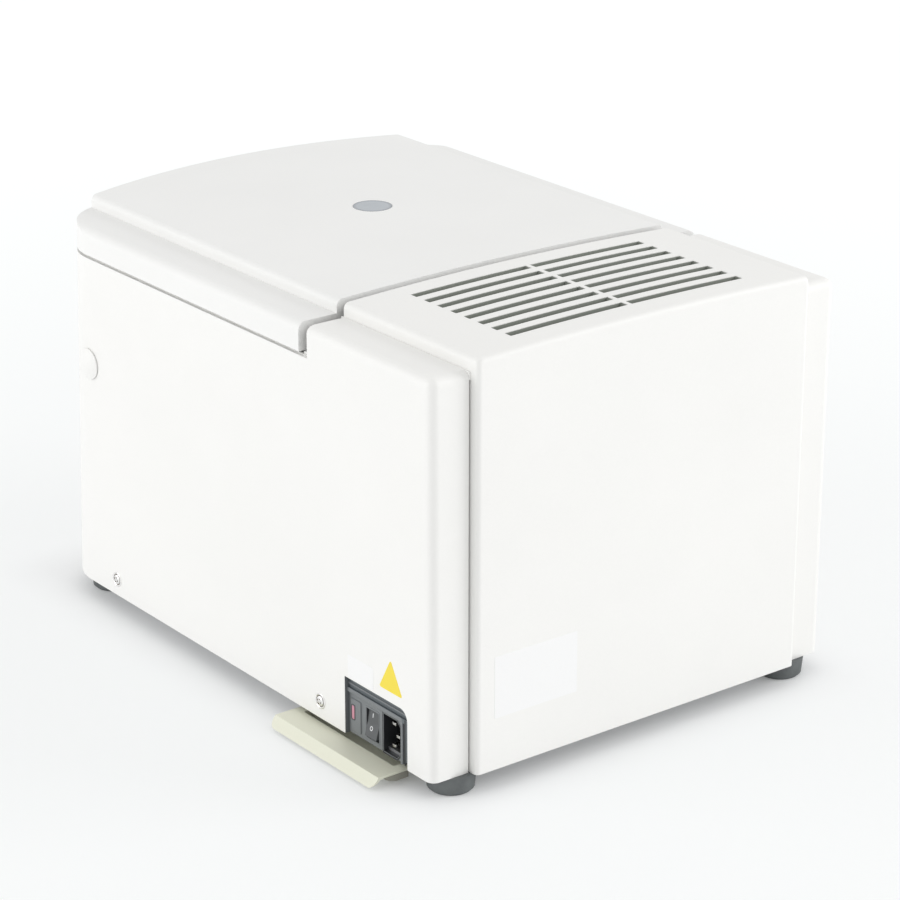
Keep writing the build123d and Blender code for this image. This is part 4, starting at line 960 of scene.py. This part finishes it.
# Control panel: key marks and unlit digits
panel = {"reach": 414.984, "z": 175.0, "keyProud": 1.2, "keyRise": 0.09}
keyMark = {"arrow": ((-1.9, -1.3), (1.9, -1.3), (0, 1.9)), "bar": (7, 0.9), "barDrop": 2.0,
           "openRise": 2.2, "openArrow": 0.8, "pairShift": 1.8, "ring": 4.6, "ringWidth": 0.6,
           "stroke": (0.7, 2.6), "strokeRise": 1.6, "strokeLift": 0.03, "thick": 0.04}
digits = {"rise": 13.0, "groups": ((-30.667, 3), (0.0, 3), (30.667, 4)), "pitch": 6.6, "size": (4.6, 9.6),
          "bar": 0.95, "gap": 0.25, "round": 0.3, "lift": 0.02, "thick": 0.02}
lean = np.radians(frontLean)
panelPlace = frameOf(spot(0, panel["reach"], panel["z"]), (0, -np.cos(lean), np.sin(lean)), (0, 0, 1))
arrowUp = np.array(keyMark["arrow"])
arrowRight = arrowUp[:, ::-1]


def keyPlace(name):
    # The middle of a key's front face
    low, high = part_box(name)
    x = ((low.x + high.x) / 2 - middleX) / mm
    rise = ((low.z + high.z) / 2 / mm - panel["z"]) / np.cos(lean) + panel["keyRise"]
    return moved(panelPlace, x, rise, panel["keyProud"])


def keyMarks(name, place):
    # An arrow for up or down, one over a bar to open, two for a short spin, and a power mark to start
    if name.endswith("_up_key"):
        return [inkSlab(place, arrowUp)]
    if name.endswith("_down_key"):
        return [inkSlab(place, -arrowUp)]
    if name == "open_key":
        return [inkSlab(moved(place, 0, -keyMark["barDrop"]), boxOutline(keyMark["bar"])),
                inkSlab(moved(place, 0, keyMark["openRise"]), arrowUp * keyMark["openArrow"])]
    if name == "short_spin_key":
        return [inkSlab(moved(place, way * keyMark["pairShift"], 0), arrowRight) for way in (-1, 1)]
    circle = ovalOutline(keyMark["ring"], keyMark["ring"])
    strokePlace = moved(place, 0, keyMark["strokeRise"])
    return [ringMesh("start", place, circle, keyMark["ringWidth"], keyMark["thick"]),
            inkSlab(strokePlace, boxOutline(keyMark["stroke"]), keyMark["strokeLift"])]


for name in frame["nodes"]:
    if name.endswith("_key"):
        body = name.removesuffix("_key")
        ink = "ink_white" if body in ("open", "short_spin", "start_stop") else "ink_dark"
        marks = keyMarks(name, keyPlace(name))
        piece(body + "_mark", joinedMesh("mark", marks), ink, body, 60)


def segmentBars(place):
    # Seven bars of one digit: three level ones, then two upright ones on each side
    w, h = digits["size"]
    bar, gap = digits["bar"], digits["gap"]
    flatBar = boxOutline((w - 2 * gap, bar), bar * digits["round"], 3)
    tallBar = boxOutline((bar, h / 2 - 2 * gap), bar * digits["round"], 3)
    places = [(0, rise, flatBar) for rise in (-h / 2, 0, h / 2)]
    places += [(x, rise, tallBar) for x in (-w / 2, w / 2) for rise in (-h / 4, h / 4)]
    return [inkSlab(moved(place, x, rise), outline, 0, digits["thick"]) for x, rise, outline in places]


bars = []
for middle, count in digits["groups"]:
    for number in range(count):
        x = middle + (number - (count - 1) / 2) * digits["pitch"]
        bars += segmentBars(moved(panelPlace, x, digits["rise"], digits["lift"]))
piece("display_digits", joinedMesh("digits", bars), "ink_unlit", "housing", 60)
print("panel made")

# Floor: a matt plane that the camera sees partly as an even glow, least so under the object, where the
# weaker glow is painted shade that deepens the object's shadow
footprint = {"half": (0.148, 0.213), "fade": 0.035, "under": 0.14, "open": 0.7}
floor = {"half": 6, "colours": ((0.93, 0.94, 0.945), (0.95, 0.955, 0.96)), "glow": (0.93, 0.945, 0.942),
         "farGlow": (1.08, 1.10, 1.095), "glowFrom": 0.25, "glowTo": 1.3}
edge = floor["half"]
corners = [(-edge, -edge, 0), (edge, -edge, 0), (edge, edge, 0), (-edge, edge, 0)]
floorMesh = bpy.data.meshes.new("floor")
floorMesh.from_pydata(corners, [], [(0, 1, 2, 3)])
floorObject = bpy.data.objects.new("floor", floorMesh)
bpy.context.scene.collection.objects.link(floorObject)
f = Finish("paleFloor")
cloud = f.ramp(f.noise(1.5, 2), 0.2, 0.8)
f.wear(Base_Color=f.mix(cloud, *floor["colours"]), Roughness=0.55, Specular_IOR_Level=0.2)
x, y = f.axis("X"), f.axis("Y")
away = f.ramp(f.root(x * x + y * y), floor["glowFrom"], floor["glowTo"])
glow = f.node("ShaderNodeEmission", sockets={"Color": f.mix(away, floor["glow"], floor["farGlow"])})
outside = []
for distance, half in zip((x - middleX, y), footprint["half"]):
    outside.append(f.ramp(f.root(distance * distance), half, half + footprint["fade"]))
clear = 1 - (1 - outside[0]) * (1 - outside[1])  # 0 within the footprint, 1 beyond its fading edge
rays = [f.node("ShaderNodeLightPath", output=ray)
        for ray in ("Is Camera Ray", "Is Glossy Ray", "Is Transmission Ray")]
seen = f.ramp(rays[0] + rays[1] + rays[2], 0.0, 1.0)
# Less glow within and near the footprint: painted shade under the object
share = seen * (footprint["under"] + (footprint["open"] - footprint["under"]) * clear)
through = f.node("ShaderNodeMixShader", sockets={0: share, 1: Wire(f, f.shader.outputs[0]), 2: glow})
f.tree.links.new(through.socket, f.tree.nodes["Material Output"].inputs["Surface"])
floorMesh.materials.append(f.material)

# Surroundings: even light on the object, and a pale backdrop for the camera and through clear pieces
surroundings = {"light": 0.80, "backdrop": (0.965, 0.975, 0.975)}
world = bpy.data.worlds.new("studio")
bpy.context.scene.world = world
world.use_nodes = True
world.node_tree.nodes.clear()
sky = NodeMaker(world.node_tree)
rays = [sky.node("ShaderNodeLightPath", output=ray) for ray in ("Is Camera Ray", "Is Transmission Ray")]
seen = sky.node("ShaderNodeMath", {"operation": "MAXIMUM"}, {0: rays[0], 1: rays[1]})
around = sky.node("ShaderNodeBackground", sockets={"Color": (1, 1, 1, 1), "Strength": surroundings["light"]})
backdrop = sky.node("ShaderNodeBackground", sockets={"Color": (*surroundings["backdrop"], 1)})
blend = sky.node("ShaderNodeMixShader", sockets={0: seen, 1: around, 2: backdrop})
sky.node("ShaderNodeOutputWorld", sockets={"Surface": blend})
print("floor and surroundings made")
